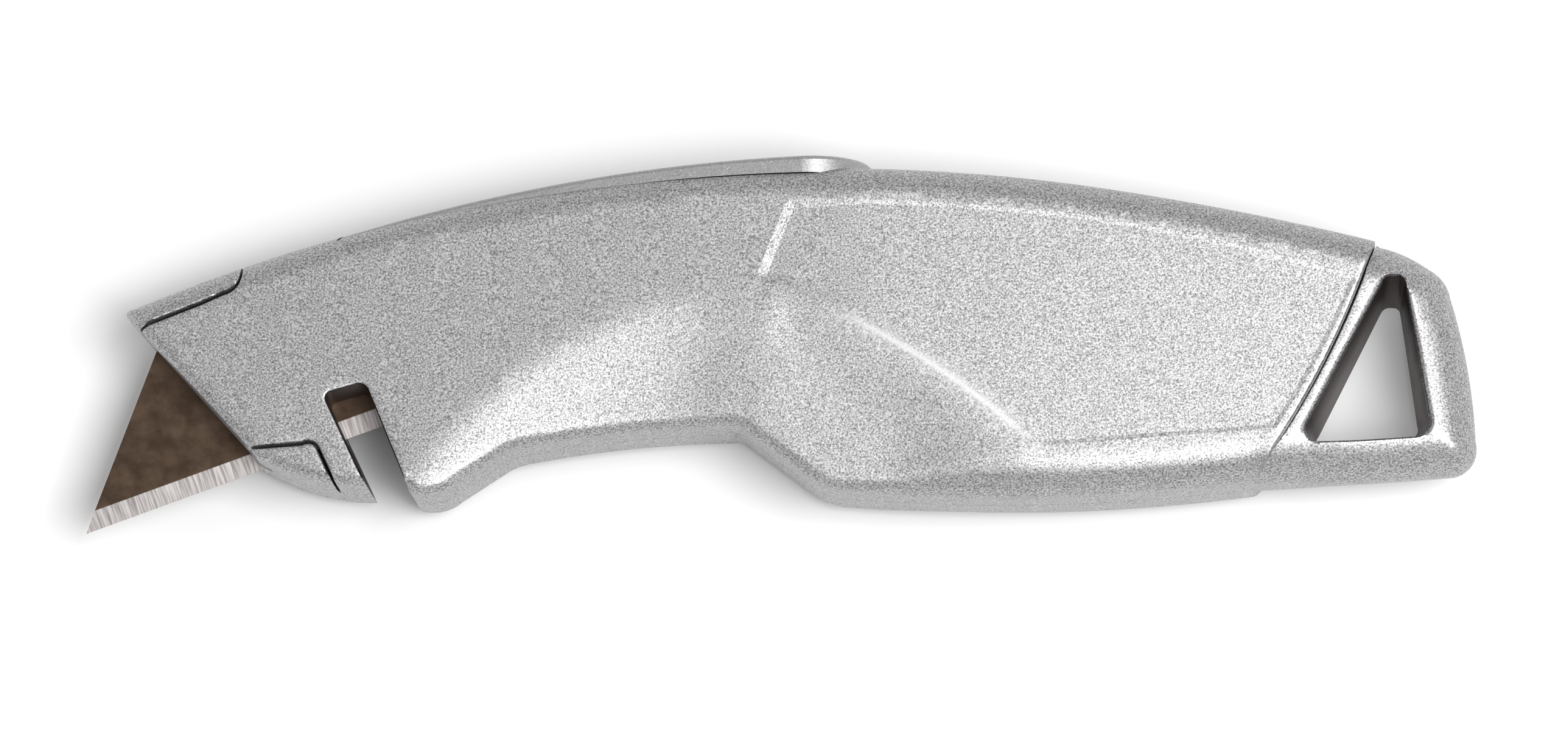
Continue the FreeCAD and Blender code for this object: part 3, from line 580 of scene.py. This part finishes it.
def lever_seat():
    """Everything that the lever takes out of the shells."""
    front_half, rear_half = LEVER_FRONT_HALF + LEVER_GAP, LEVER_REAR_HALF + LEVER_GAP
    front_x, end_x = LEVER_FRONT, LEVER_END + LEVER_GAP
    straight_x = end_x - rear_half
    nose_x = PIVOT[0] - LEVER_NOSE_R
    taper = (rear_half - front_half) / (straight_x - nose_x)
    first_half = front_half + taper * (front_x - nose_x)
    plan = [(front_x, MID - first_half), (straight_x, MID - rear_half)]
    plan += [(straight_x + rear_half * math.sin(t), MID - rear_half * math.cos(t))
             for t in np.linspace(0, math.pi, 25)[1:-1]]
    plan += [(straight_x, MID + rear_half), (front_x, MID + first_half)]
    loop = trace(plan[0], *plan[1:], plan[0], step=1.0)[:-1]

    def wanted(points):
        return inside(points, loop)

    flat, faces, _ = skin([loop], [], [chain(loop, 0.01)], wanted, spacing=1.6)
    floor = np.array([spine_y(x, SEAT_R) for x in flat[:, 0]])
    seat = solid_between("seat", flat, faces, np.full(len(flat), SEAT_TOP), floor)
    for vertex in seat.data.vertices:
        x, y, z = vertex.co
        vertex.co = (x, z, y)
    fix_normals(seat)
    pivot_x, pivot_y = PIVOT
    low_y, reach = 6.3, 3.0
    start = math.pi + math.asin((pivot_y - low_y) / LEVER_NOSE_R)
    stop = math.acos(reach / LEVER_NOSE_R)
    arc = [(pivot_x + LEVER_NOSE_R * math.cos(t), pivot_y + LEVER_NOSE_R * math.sin(t))
           for t in np.linspace(start, stop, 28)]
    nose = prism("seat_front", arc + [(pivot_x + reach, low_y)],
                 MID - LEVER_NOSE_HALF, MID + LEVER_NOSE_HALF)
    slots = [prism("web_slot", box_loop(-53.0, -2.4, 5.2, SLOT_TOP), MID + 2.2, MID + 4.6),
             prism("ear_slot", box_loop(-53.0, -38.0, 5.2, SLOT_TOP), MID - 4.6, MID - 2.2),
             prism("lock_slot", box_loop(6.4, 10.6, 12.0, SLOT_TOP), MID - 5.2, MID - 2.8)]
    return [seat, nose] + slots


def blade_channel():
    """The curved slot in which the blade swings."""
    low_r, high_r, half = 197.8, 218.9, 0.6
    turns = np.linspace(-27.5, -6.0, 40)
    arc = [on_guide(low_r, t) for t in turns] + [on_guide(high_r, t) for t in turns[::-1]]
    return [prism("blade_channel", arc, MID - half, MID + half)]


def mouth():
    """The opening through which the tray slides."""
    return [prism("mouth", box_loop(40, 90, -16.5, 5.3, DRAW_DEG), MID - 5.4, MID + 4.7)]


SCREWS = ((-40.8, -14.6), (8.2, -14.6), (21.5, 16.6), (55.0, 11.2))
SCREW_RECESS_R = 2.35
SCREW_RECESS = 1.45               # depth of a screw's recess below the lowest place round it
RECESS_CUT = 8.0                  # length of the cutter for a recess
SCREW_HEAD_HIGH = 1.25
SCREW_PROFILE = ((1.3, 0.0), (1.8, 0.12), (2.1, 0.4), (2.2, 0.75), (2.2, 1.2),
                 (1.2, SCREW_HEAD_HIGH), (1.2, 12.0))
CROSS_LONG, CROSS_THIN, CROSS_DEEP = 1.3, 0.25, 0.7


def screw_floor(x, y):
    """Height of the seat under a screw's head in the right flank."""
    spots = np.array(circle(x, y, SCREW_RECESS_R))
    return MID - float(shell_top(spots, BODY_CHAINS).min()) + SCREW_RECESS


def right_openings():
    """Screw recesses and the lock button's slot in the right flank."""
    cutters = []
    for x, y in SCREWS:
        floor = screw_floor(x, y)
        cutters.append(prism("recess", circle(x, y, SCREW_RECESS_R), floor - RECESS_CUT, floor))
    cutters.append(prism("lock_slot_outside", box_loop(-7.65, -0.55, 10.35, 13.05), -1, 4))
    return cutters


def cut(obj, cutters):
    """Takes the cutters out of the object."""
    group = bpy.data.collections.new(obj.name + "_cutters")
    bpy.context.scene.collection.children.link(group)
    for cutter in cutters:
        for owner in list(cutter.users_collection):
            owner.objects.unlink(cutter)
        group.objects.link(cutter)
    tool = obj.modifiers.new("cut", "BOOLEAN")
    tool.operation = "DIFFERENCE"
    tool.operand_type = "COLLECTION"
    tool.solver = "EXACT"
    tool.collection = group
    bpy.context.view_layer.update()
    result = obj.evaluated_get(bpy.context.evaluated_depsgraph_get())
    shape = bpy.data.meshes.new_from_object(result)
    obj.modifiers.clear()
    obj.data = shape


def lathe(name, x, y, top, profile, count=32):
    """Closed round body: profile holds (radius, depth below top), and depth runs along +Z."""
    verts = [(x, y, top + profile[0][1])]
    for radius, depth in profile:
        verts += [(px, py, top + depth) for px, py in circle(x, y, radius, count)]
    verts.append((x, y, top + profile[-1][1]))
    faces = []
    for i in range(count):
        j = (i + 1) % count
        faces.append([0, 1 + i, 1 + j])
        for level in range(len(profile) - 1):
            a = 1 + level * count
            faces.append([a + i, a + count + i, a + count + j, a + j])
        last = 1 + (len(profile) - 1) * count
        faces.append([last + i, len(verts) - 1, last + j])
    obj = new_object(name, verts, faces)
    fix_normals(obj)
    return obj


def screws():
    """Pan-head case screws with cross recesses, heads just below the right flank."""
    made = []
    for x, y in SCREWS:
        top = screw_floor(x, y) - SCREW_HEAD_HIGH
        screw = lathe("screw", x, y, top, SCREW_PROFILE)
        cross = [prism("cross", box_loop(x - wide, x + wide, y - high, y + high),
                       top - 1, top + CROSS_DEEP)
                 for wide, high in ((CROSS_LONG, CROSS_THIN), (CROSS_THIN, CROSS_LONG))]
        cut(screw, cross)
        remove(cross)
        made.append(screw)
    return joined("screws", made)


# Return spring: from the hook on the carriage to the post behind it
SPRING_FROM, SPRING_TO = (-20.94, 9.69), (26.5, 11.1)
SPRING_R, WIRE_R, SPRING_TURNS = 1.6, 0.28, 24


def return_spring():
    """Coil spring swept along a helix, as a closed tube of wire."""
    span = np.array(SPRING_TO) - np.array(SPRING_FROM)
    length = np.linalg.norm(span)
    along = np.array([*(span / length), 0.0])
    across = np.array([-along[1], along[0], 0.0])
    rise = np.array([0.0, 0.0, 1.0])
    start = np.array([*SPRING_FROM, MID])
    steps, sides = SPRING_TURNS * 20, 8
    pitch = length / (math.tau * SPRING_TURNS * SPRING_R)
    verts = []
    for i in range(steps + 1):
        turn = math.tau * SPRING_TURNS * i / steps
        out = math.cos(turn) * across + math.sin(turn) * rise
        way = along * pitch + math.cos(turn) * rise - math.sin(turn) * across
        way /= np.linalg.norm(way)
        third = np.cross(way, out)
        centre = start + along * length * i / steps + out * SPRING_R
        for k in range(sides):
            lean = math.tau * k / sides
            verts.append(centre + WIRE_R * (math.cos(lean) * out + math.sin(lean) * third))
    faces = [list(range(sides)), [steps * sides + k for k in range(sides)]]
    for a in range(0, steps * sides, sides):
        for k in range(sides):
            j = (k + 1) % sides
            faces.append([a + k, a + j, a + sides + j, a + sides + k])
    obj = new_object("spring_coil", verts, faces)
    fix_normals(obj)
    smooth(obj, 60)
    dress(obj, SPRING)
    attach(obj, "housing")
    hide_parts("return_spring")
    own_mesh(obj)


def remove(objects):
    for obj in objects:
        bpy.data.objects.remove(obj)


def joined(name, objects):
    """One object with every vertex and face of several."""
    work = bmesh.new()
    for obj in objects:
        work.from_mesh(obj.data)
    mesh = bpy.data.meshes.new(name)
    work.to_mesh(mesh)
    work.free()
    remove(objects)
    made = bpy.data.objects.new(name, mesh)
    bpy.context.scene.collection.objects.link(made)
    return made


# ---------------------------------------------------------------- tail and tray

tail_rim = trace(
    (73.35, 10.65), (76.9, 9.55, 79.6, 8.05), (81.3, 6.6, 82.1, 4.6),
    (83.95, -3.5, 84.9, -13.2), (84.25, -16.2, 81.6, -17.4), (70.0, -18.1, 58.15, -18.4))
tail_seam = trace((58.15, -18.4), (66.65, -4.95, 73.35, 10.65))
HOLE_STEPS = (4, 3, 38, 6, 26, 5, 44)


def hole(start, *steps):
    """Loop of the lanyard hole; both rims have the same number of points."""
    points = [start]
    for target, count in zip(steps, HOLE_STEPS):
        last = points[-1]
        if len(target) == 4:
            fine = arc_points(last, target[:2], target[2:], 0.01)
            points += [fine[round((i + 1) * len(fine) / count) - 1] for i in range(count)]
        else:
            points += [tuple(last[k] + (target[k] - last[k]) * (i + 1) / count for k in (0, 1))
                       for i in range(count)]
    return np.array(points[:-1])


hole_near = hole(
    (73.7, 5.3), (74.4, 6.25, 75.2, 6.3), (76.2, 6.3, 76.6, 5.2), (79.1, -10.6),
    (78.9, -12.6, 77.3, -13.3), (66.0, -13.9), (64.5, -13.2, 64.75, -11.3), (73.7, 5.3))
hole_far = hole(
    (73.7, 4.2), (74.2, 4.75, 75.0, 4.87), (75.7, 4.7, 76.1, 3.8), (77.93, -10.1),
    (77.75, -11.3, 76.7, -11.7), (66.7, -12.35), (65.75, -12.1, 65.9, -11.1), (73.7, 4.2))


def tail_loop():
    """Cast loop behind the shells: two rounded faces joined by a rim and a drafted hole."""
    seam = tail_seam - (SEAM_SHIFT, 0)
    rim = np.vstack([[tail_rim[0] - (SEAM_SHIFT, 0)], tail_rim[1:-1], seam[:-1]])
    verts = []
    polygons = []
    edge_at = [[], []]
    for level, (side, loop) in enumerate(((1, hole_near), (-1, hole_far))):
        chains = [chain(tail_rim, TAIL_ROUND), chain(seam, SEAM_ROUND),
                  chain(closed_line(loop), HOLE_ROUND)]

        def wanted(points):
            return inside(points, rim) & ~inside(points, loop)

        flat, faces, place = skin([rim, loop], [], chains, wanted, spacing=0.9)
        rise = SEAM_RISE * (1 - ease(nearest(flat, seam)[0] / SEAM_FADE))
        high = TAIL_HALF + rise - rounding(flat, chains)
        first = len(verts)
        verts += [(x, y, MID + side * z) for (x, y), z in zip(flat, high)]
        for face in faces:
            polygons.append([first + v for v in (face if side > 0 else reversed(face))])
        for k in range(len(rim) + len(loop)):
            edge_at[level].append(first + place[k])
    near, far = edge_at
    for start, count in ((0, len(rim)), (len(rim), len(hole_near))):
        for i in range(count):
            a, b = start + i, start + (i + 1) % count
            polygons.append([near[a], near[b], far[b], far[a]])
    obj = new_object("tail_loop", verts, polygons)
    drop_loose(obj)
    fix_normals(obj)
    return obj


def tray():
    """Open tray for the spare blades, running into the tail."""
    turn = math.radians(DRAW_DEG)

    def spot(u, v):
        """Place of a point given along and across the way in which the tray slides."""
        return u * math.cos(turn) - v * math.sin(turn), u * math.sin(turn) + v * math.cos(turn)

    # the floor's rear edge runs just behind the seam, inside the tail loop
    behind = [(x + 1.2, y) for x, y in tail_seam[::6] if -14.5 < y < 7.0]
    outer = [spot(3.6, 5.0), spot(3.6, 1.5), spot(19.6, -16.2), spot(56.0, -16.2)] + behind
    outer.append(spot(68.5, 5.0))
    outer = trace(outer[0], *outer[1:], outer[0], step=0.8)[:-1]
    inner = shrunk(outer[::-1], TRAY_WALL)

    def wanted(points):
        return inside(points, outer)

    flat, faces, _ = skin([outer, inner], [], [chain(outer, 0.01)], wanted, spacing=2.4)
    well = inside(flat[faces].mean(axis=1), inner)
    verts = []
    index = {}

    def corner(kind, v):
        if (kind, v) not in index:
            z = {"rim": TRAY_HIGH, "well": TRAY_LOW + TRAY_FLOOR, "base": TRAY_LOW}[kind]
            index[kind, v] = len(verts)
            verts.append((*flat[v], z))
        return index[kind, v]

    polygons = []
    for k, (a, b, c) in enumerate(faces):
        kind = "well" if well[k] else "rim"
        polygons.append([corner(kind, v) for v in (a, b, c)])
        polygons.append([corner("base", v) for v in (c, b, a)])
    owner = edge_owners(faces)
    for (a, b), k in owner.items():
        other = owner.get((b, a))
        if other is None:
            polygons.append([corner("rim", b), corner("rim", a),
                             corner("base", a), corner("base", b)])
        elif well[k] and not well[other]:
            polygons.append([corner("well", b), corner("well", a),
                             corner("rim", a), corner("rim", b)])
    obj = new_object("tray", verts, polygons)
    fix_normals(obj)
    return obj


# ---------------------------------------------------------------- materials

def new_material(name):
    made = bpy.data.materials.new(name)
    made.use_nodes = True
    nodes = made.node_tree.nodes
    shader = nodes["Principled BSDF"]
    return made, nodes, made.node_tree.links, shader


def cast_metal(name, dark, light, rough, grain=0.23, depth=0.014, spread=0.05):
    """Blasted die-cast alloy with fine bright flakes; grain is their size in mm."""
    made, nodes, links, shader = new_material(name)
    shader.inputs["Metallic"].default_value = 1.0
    place = nodes.new("ShaderNodeTexCoord")
    fine = nodes.new("ShaderNodeTexNoise")
    fine.inputs["Scale"].default_value = 1 / (grain * MM)
    fine.inputs["Detail"].default_value = 2.0
    fine.inputs["Roughness"].default_value = 0.6
    flakes = nodes.new("ShaderNodeTexVoronoi")
    flakes.inputs["Scale"].default_value = 1 / (grain * MM)
    broad = nodes.new("ShaderNodeTexNoise")
    broad.inputs["Scale"].default_value = 260.0
    for texture in (fine, flakes, broad):
        links.new(place.outputs["Object"], texture.inputs["Vector"])
    tone = nodes.new("ShaderNodeValToRGB")
    tone.color_ramp.elements[0].position = 0.32
    tone.color_ramp.elements[0].color = (*dark, 1)
    tone.color_ramp.elements[1].position = 0.68
    tone.color_ramp.elements[1].color = (*light, 1)
    links.new(fine.outputs["Fac"], tone.inputs["Fac"])
    # painted highlight: where the ridge attribute is set, a light grey is mixed into the base
    # colour in place of the ridge's highlight
    painted_ridge_highlight = nodes.new("ShaderNodeAttribute")
    painted_ridge_highlight.attribute_name = "painted_ridge_highlight"
    painted_highlight_mix = nodes.new("ShaderNodeMix")
    painted_highlight_mix.data_type = "RGBA"
    painted_highlight_mix.inputs["B"].default_value = (0.57, 0.563, 0.57, 1)
    links.new(painted_ridge_highlight.outputs["Fac"], painted_highlight_mix.inputs["Factor"])
    links.new(tone.outputs["Color"], painted_highlight_mix.inputs["A"])
    links.new(painted_highlight_mix.outputs["Result"], shader.inputs["Base Color"])
    gloss = nodes.new("ShaderNodeMapRange")
    gloss.inputs["To Min"].default_value = rough - spread
    gloss.inputs["To Max"].default_value = rough + spread
    links.new(broad.outputs["Fac"], gloss.inputs["Value"])
    links.new(gloss.outputs["Result"], shader.inputs["Roughness"])
    coarse = nodes.new("ShaderNodeBump")
    coarse.inputs["Strength"].default_value = 1.0
    coarse.inputs["Distance"].default_value = depth * MM
    links.new(fine.outputs["Fac"], coarse.inputs["Height"])
    chips = nodes.new("ShaderNodeBump")
    chips.inputs["Strength"].default_value = 1.0
    chips.inputs["Distance"].default_value = depth * MM * 0.8
    links.new(flakes.outputs["Color"], chips.inputs["Height"])
    links.new(coarse.outputs["Normal"], chips.inputs["Normal"])
    links.new(chips.outputs["Normal"], shader.inputs["Normal"])
    return made


def plain_metal(name, color, rough, scratch=700.0):
    """Turned or rolled metal with faint marks."""
    made, nodes, links, shader = new_material(name)
    shader.inputs["Metallic"].default_value = 1.0
    shader.inputs["Base Color"].default_value = (*color, 1)
    place = nodes.new("ShaderNodeTexCoord")
    marks = nodes.new("ShaderNodeTexNoise")
    marks.inputs["Scale"].default_value = scratch
    marks.inputs["Detail"].default_value = 4.0
    links.new(place.outputs["Object"], marks.inputs["Vector"])
    gloss = nodes.new("ShaderNodeMapRange")
    gloss.inputs["To Min"].default_value = rough - 0.1
    gloss.inputs["To Max"].default_value = rough + 0.1
    links.new(marks.outputs["Fac"], gloss.inputs["Value"])
    links.new(gloss.outputs["Result"], shader.inputs["Roughness"])
    return made


TIP = Vector((-84.9, -22.62, MID)) * MM
SPARE_TIP = Vector((4.7, 3.9, MID)) * MM    # tip of the spare blades, before the tray's turn
EDGE_DEG = 19.7                   # direction of the cutting edge
BEVEL_WIDTH = 2.3


def blade_steel(name, origin, degrees, flip=1):
    """Dark oiled steel with a bright ground bevel along the cutting edge."""
    made, nodes, links, shader = new_material(name)
    shader.inputs["Metallic"].default_value = 0.9
    turn = math.radians(degrees)
    place = nodes.new("ShaderNodeTexCoord")
    local = nodes.new("ShaderNodeMapping")
    local.vector_type = "TEXTURE"
    local.inputs["Location"].default_value = origin
    local.inputs["Rotation"].default_value = (0, 0, turn)
    local.inputs["Scale"].default_value = (1, flip, 1)
    links.new(place.outputs["Object"], local.inputs["Vector"])
    split = nodes.new("ShaderNodeSeparateXYZ")
    links.new(local.outputs["Vector"], split.inputs["Vector"])
    bevel = nodes.new("ShaderNodeMapRange")
    bevel.inputs["From Min"].default_value = (BEVEL_WIDTH - 0.06) * MM
    bevel.inputs["From Max"].default_value = (BEVEL_WIDTH + 0.06) * MM
    links.new(split.outputs["Y"], bevel.inputs["Value"])

    blotches = nodes.new("ShaderNodeTexNoise")
    blotches.inputs["Scale"].default_value = 330.0
    blotches.inputs["Detail"].default_value = 5.0
    blotches.inputs["Roughness"].default_value = 0.62
    links.new(local.outputs["Vector"], blotches.inputs["Vector"])
    dark = nodes.new("ShaderNodeValToRGB")
    dark.color_ramp.elements[0].position = 0.36
    dark.color_ramp.elements[0].color = (0.056, 0.035, 0.023, 1)
    dark.color_ramp.elements[1].position = 0.66
    dark.color_ramp.elements[1].color = (0.098, 0.066, 0.046, 1)
    links.new(blotches.outputs["Fac"], dark.inputs["Fac"])

    stretch = nodes.new("ShaderNodeMapping")
    stretch.inputs["Scale"].default_value = (1.0, 0.06, 0.06)
    links.new(local.outputs["Vector"], stretch.inputs["Vector"])
    lines = nodes.new("ShaderNodeTexNoise")
    lines.inputs["Scale"].default_value = 3200.0
    lines.inputs["Detail"].default_value = 3.0
    links.new(stretch.outputs["Vector"], lines.inputs["Vector"])
    bright = nodes.new("ShaderNodeValToRGB")
    bright.color_ramp.elements[0].position = 0.35
    bright.color_ramp.elements[0].color = (0.21, 0.192, 0.186, 1)
    bright.color_ramp.elements[1].position = 0.62
    bright.color_ramp.elements[1].color = (0.43, 0.402, 0.398, 1)
    links.new(lines.outputs["Fac"], bright.inputs["Fac"])

    tone = nodes.new("ShaderNodeMix")
    tone.data_type = "RGBA"
    links.new(bevel.outputs["Result"], tone.inputs["Factor"])
    links.new(bright.outputs["Color"], tone.inputs["A"])
    links.new(dark.outputs["Color"], tone.inputs["B"])
    links.new(tone.outputs["Result"], shader.inputs["Base Color"])
    gloss = nodes.new("ShaderNodeMapRange")
    gloss.inputs["To Min"].default_value = 0.34
    gloss.inputs["To Max"].default_value = 0.5
    links.new(blotches.outputs["Fac"], gloss.inputs["Value"])
    links.new(gloss.outputs["Result"], shader.inputs["Roughness"])
    return made


# ---------------------------------------------------------------- build

CAST = cast_metal("cast_alloy", (0.15, 0.147, 0.15), (0.58, 0.573, 0.58), 0.44)
# painted shade: a darker copy of the cast metal for the walls inside the notch and the lanyard hole
WALL_SHADE = cast_metal("painted_wall_shade", (0.072, 0.058, 0.053), (0.106, 0.087, 0.082), 0.5, depth=0.004)
LEVER = cast_metal("lever_alloy", (0.30, 0.295, 0.30), (0.42, 0.415, 0.42), 0.38, depth=0.006)
STEEL = plain_metal("bright_steel", (0.62, 0.61, 0.60), 0.28)
SPRING = plain_metal("spring_wire", (0.46, 0.45, 0.44), 0.34)
ZINC = plain_metal("carriage_zinc", (0.52, 0.52, 0.53), 0.42)
MAGNET = plain_metal("nickel_magnet", (0.70, 0.67, 0.62), 0.2)
LOCK = plain_metal("lock_alloy", (0.20, 0.20, 0.21), 0.4)


def dress(obj, material):
    """Gives the object one material."""
    obj.data.materials.clear()
    obj.data.materials.append(material)


HIGHLIGHT_HALF = 0.5                   # distance from the ridge over which the painted highlight fades
HIGHLIGHT_FROM, HIGHLIGHT_TO = 5.0, 32.0    # stretch of the ridge that gets the painted highlight


def paint_ridge_highlight(obj):
    """Stores how strongly each vertex near the panel's ridge gets the painted highlight."""
    spots = np.array([tuple(vertex.co) for vertex in obj.data.vertices])[:, :2] / MM
    away, _ = nearest(spots, ridge)
    along = ease((spots[:, 0] - HIGHLIGHT_FROM) / 9) * ease((HIGHLIGHT_TO - spots[:, 0]) / 4)
    painted_ridge_highlight = np.exp(-(away / HIGHLIGHT_HALF) ** 2) * along
    layer = obj.data.attributes.new("painted_ridge_highlight", "FLOAT", "POINT")
    layer.data.foreach_set("value", painted_ridge_highlight.astype(np.float32))


def paint_wall_shade(obj, near):
    """Gives the upright faces where near() is true a darker copy of the cast metal: painted shade
    on the walls inside the notch and the hole.
    """
    obj.data.materials.append(WALL_SHADE)
    centres = np.array([tuple(face.center) for face in obj.data.polygons]) / MM
    upright = np.array([abs(face.normal.z) < 0.5 for face in obj.data.polygons])
    for index in np.flatnonzero(upright & near(centres[:, :2])):
        obj.data.polygons[int(index)].material_index = 1


def build_shells():
    nose = (nose_hook, 1, [(-90.0, 14.0), (-90.0, -1.3)])
    jaw = (chin_hook, -1, [(-53.1, -25.0), (-70.0, -25.0), (-70.0, -13.6)])
    common = lever_seat() + blade_channel() + mouth()
    left = half_shell("shell_left", 1, [nose, jaw])
    cut(left, common)
    right_half = half_shell("shell_right_half", -1, [])
    tongues = [tongue(line, closing) for line, _, closing in (nose, jaw)]
    right = joined("shell_right", [right_half] + tongues)
    more = right_openings()
    cut(right, common + more)
    remove(common + more)
    for obj, node in ((left, "left_shell"), (right, "right_shell")):
        smooth(obj)
        dress(obj, CAST)
        # paints the highlight along the panel's ridge into the colour
        paint_ridge_highlight(obj)
        # painted shade on the walls of the notch
        paint_wall_shade(obj, lambda points: nearest(points, notch[4:-3])[0] < 0.35)
        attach(obj, "housing")
        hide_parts(node)


def build_screws():
    obj = screws()
    smooth(obj)
    dress(obj, STEEL)
    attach(obj, "housing")
    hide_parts("case_screws")


def build_tail():
    loop = tail_loop()
    box = tray()
    for obj in (loop, box):
        smooth(obj)
        dress(obj, CAST)
        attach(obj, "magazine")
    # painted shade on the walls of the lanyard hole
    paint_wall_shade(loop, lambda points: inside(points, hole_near))
    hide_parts("tail_magazine")


def dress_cad():
    nodes = frame["nodes"]
    looks = {
        "squeeze_lever": LEVER, "lever_pivot_pins": STEEL, "blade_carriage": ZINC,
        "carriage_magnet": MAGNET, "drive_pin": STEEL, "blade_clip": SPRING,
        "spring_post": STEEL, "lock_button": LOCK, "lock_spring": SPRING,
        "magazine_spring": SPRING, "magazine_detent": SPRING,
        "alignment_pins": STEEL,
    }
    for name, material in looks.items():
        dress(nodes[name], material)
    dress(nodes["blade"], blade_steel("blade_steel", TIP, EDGE_DEG))
    turn = Matrix.Rotation(math.radians(DRAW_DEG), 3, "Z")
    spare_look = blade_steel("spare_steel", turn @ SPARE_TIP, DRAW_DEG, flip=-1)
    for name in nodes:
        if name.startswith("spare_blade"):
            dress(nodes[name], spare_look)


def build_stage():
    bpy.ops.mesh.primitive_plane_add(size=60, location=(0, 0, -0.0002))
    floor = bpy.context.object
    floor.name = "floor"
    made, _, _, shader = new_material("pale_floor")
    shader.inputs["Base Color"].default_value = (0.68, 0.68, 0.68, 1)
    shader.inputs["Roughness"].default_value = 0.9
    dress(floor, made)


KEY_PLACE = Vector((0.37, -0.15, 0.86))
KEY_SIZE = 0.5
KEY_WATTS = 10.7
SKY_LOW, SKY_HIGH = 1.0, 0.58     # strength of the surrounding light at the horizon and above


def build_key_light():
    """Square soft light that points at the knife."""
    data = bpy.data.lights.new("key", "AREA")
    data.shape = "RECTANGLE"
    data.size = data.size_y = KEY_SIZE
    data.energy = KEY_WATTS
    lamp = bpy.data.objects.new("key", data)
    bpy.context.scene.collection.objects.link(lamp)
    lamp.location = KEY_PLACE
    lamp.rotation_euler = (-KEY_PLACE).to_track_quat("-Z", "Y").to_euler()


def build_sky():
    world = bpy.data.worlds.new("studio")
    bpy.context.scene.world = world
    world.use_nodes = True
    nodes = world.node_tree.nodes
    links = world.node_tree.links
    nodes["Background"].inputs["Color"].default_value = (1, 1, 1, 1)
    place = nodes.new("ShaderNodeTexCoord")
    split = nodes.new("ShaderNodeSeparateXYZ")
    level = nodes.new("ShaderNodeMapRange")
    level.inputs["To Min"].default_value = SKY_LOW
    level.inputs["To Max"].default_value = SKY_HIGH
    links.new(place.outputs["Generated"], split.inputs["Vector"])
    links.new(split.outputs["Z"], level.inputs["Value"])
    links.new(level.outputs["Result"], nodes["Background"].inputs["Strength"])


# Camera: above AIM, leaning by LIFT to the belly's side and by TURN to the tail's
AIM = Vector((0.72, -3.56, 9.5)) * MM
LIFT = math.radians(11.0)
TURN = math.radians(3.5)
DISTANCE = 1.0
LENS = 187.7


def build_camera():
    toward = Vector((math.cos(LIFT) * math.sin(TURN), -math.sin(LIFT),
                     math.cos(LIFT) * math.cos(TURN)))
    right = Vector((math.cos(TURN), 0, -math.sin(TURN)))
    up = toward.cross(right)
    data = bpy.data.cameras.new("camera")
    data.lens = LENS
    data.sensor_width = 36.0
    camera = bpy.data.objects.new("camera", data)
    bpy.context.scene.collection.objects.link(camera)
    turn = Matrix((right, up, toward)).transposed().to_4x4()
    camera.matrix_world = Matrix.Translation(AIM + toward * DISTANCE) @ turn
    bpy.context.scene.camera = camera


build_camera()
build_sky()
build_key_light()
build_stage()
build_shells()
build_tail()
build_screws()
return_spring()
dress_cad()
bpy.context.scene.view_settings.view_transform = "Standard"
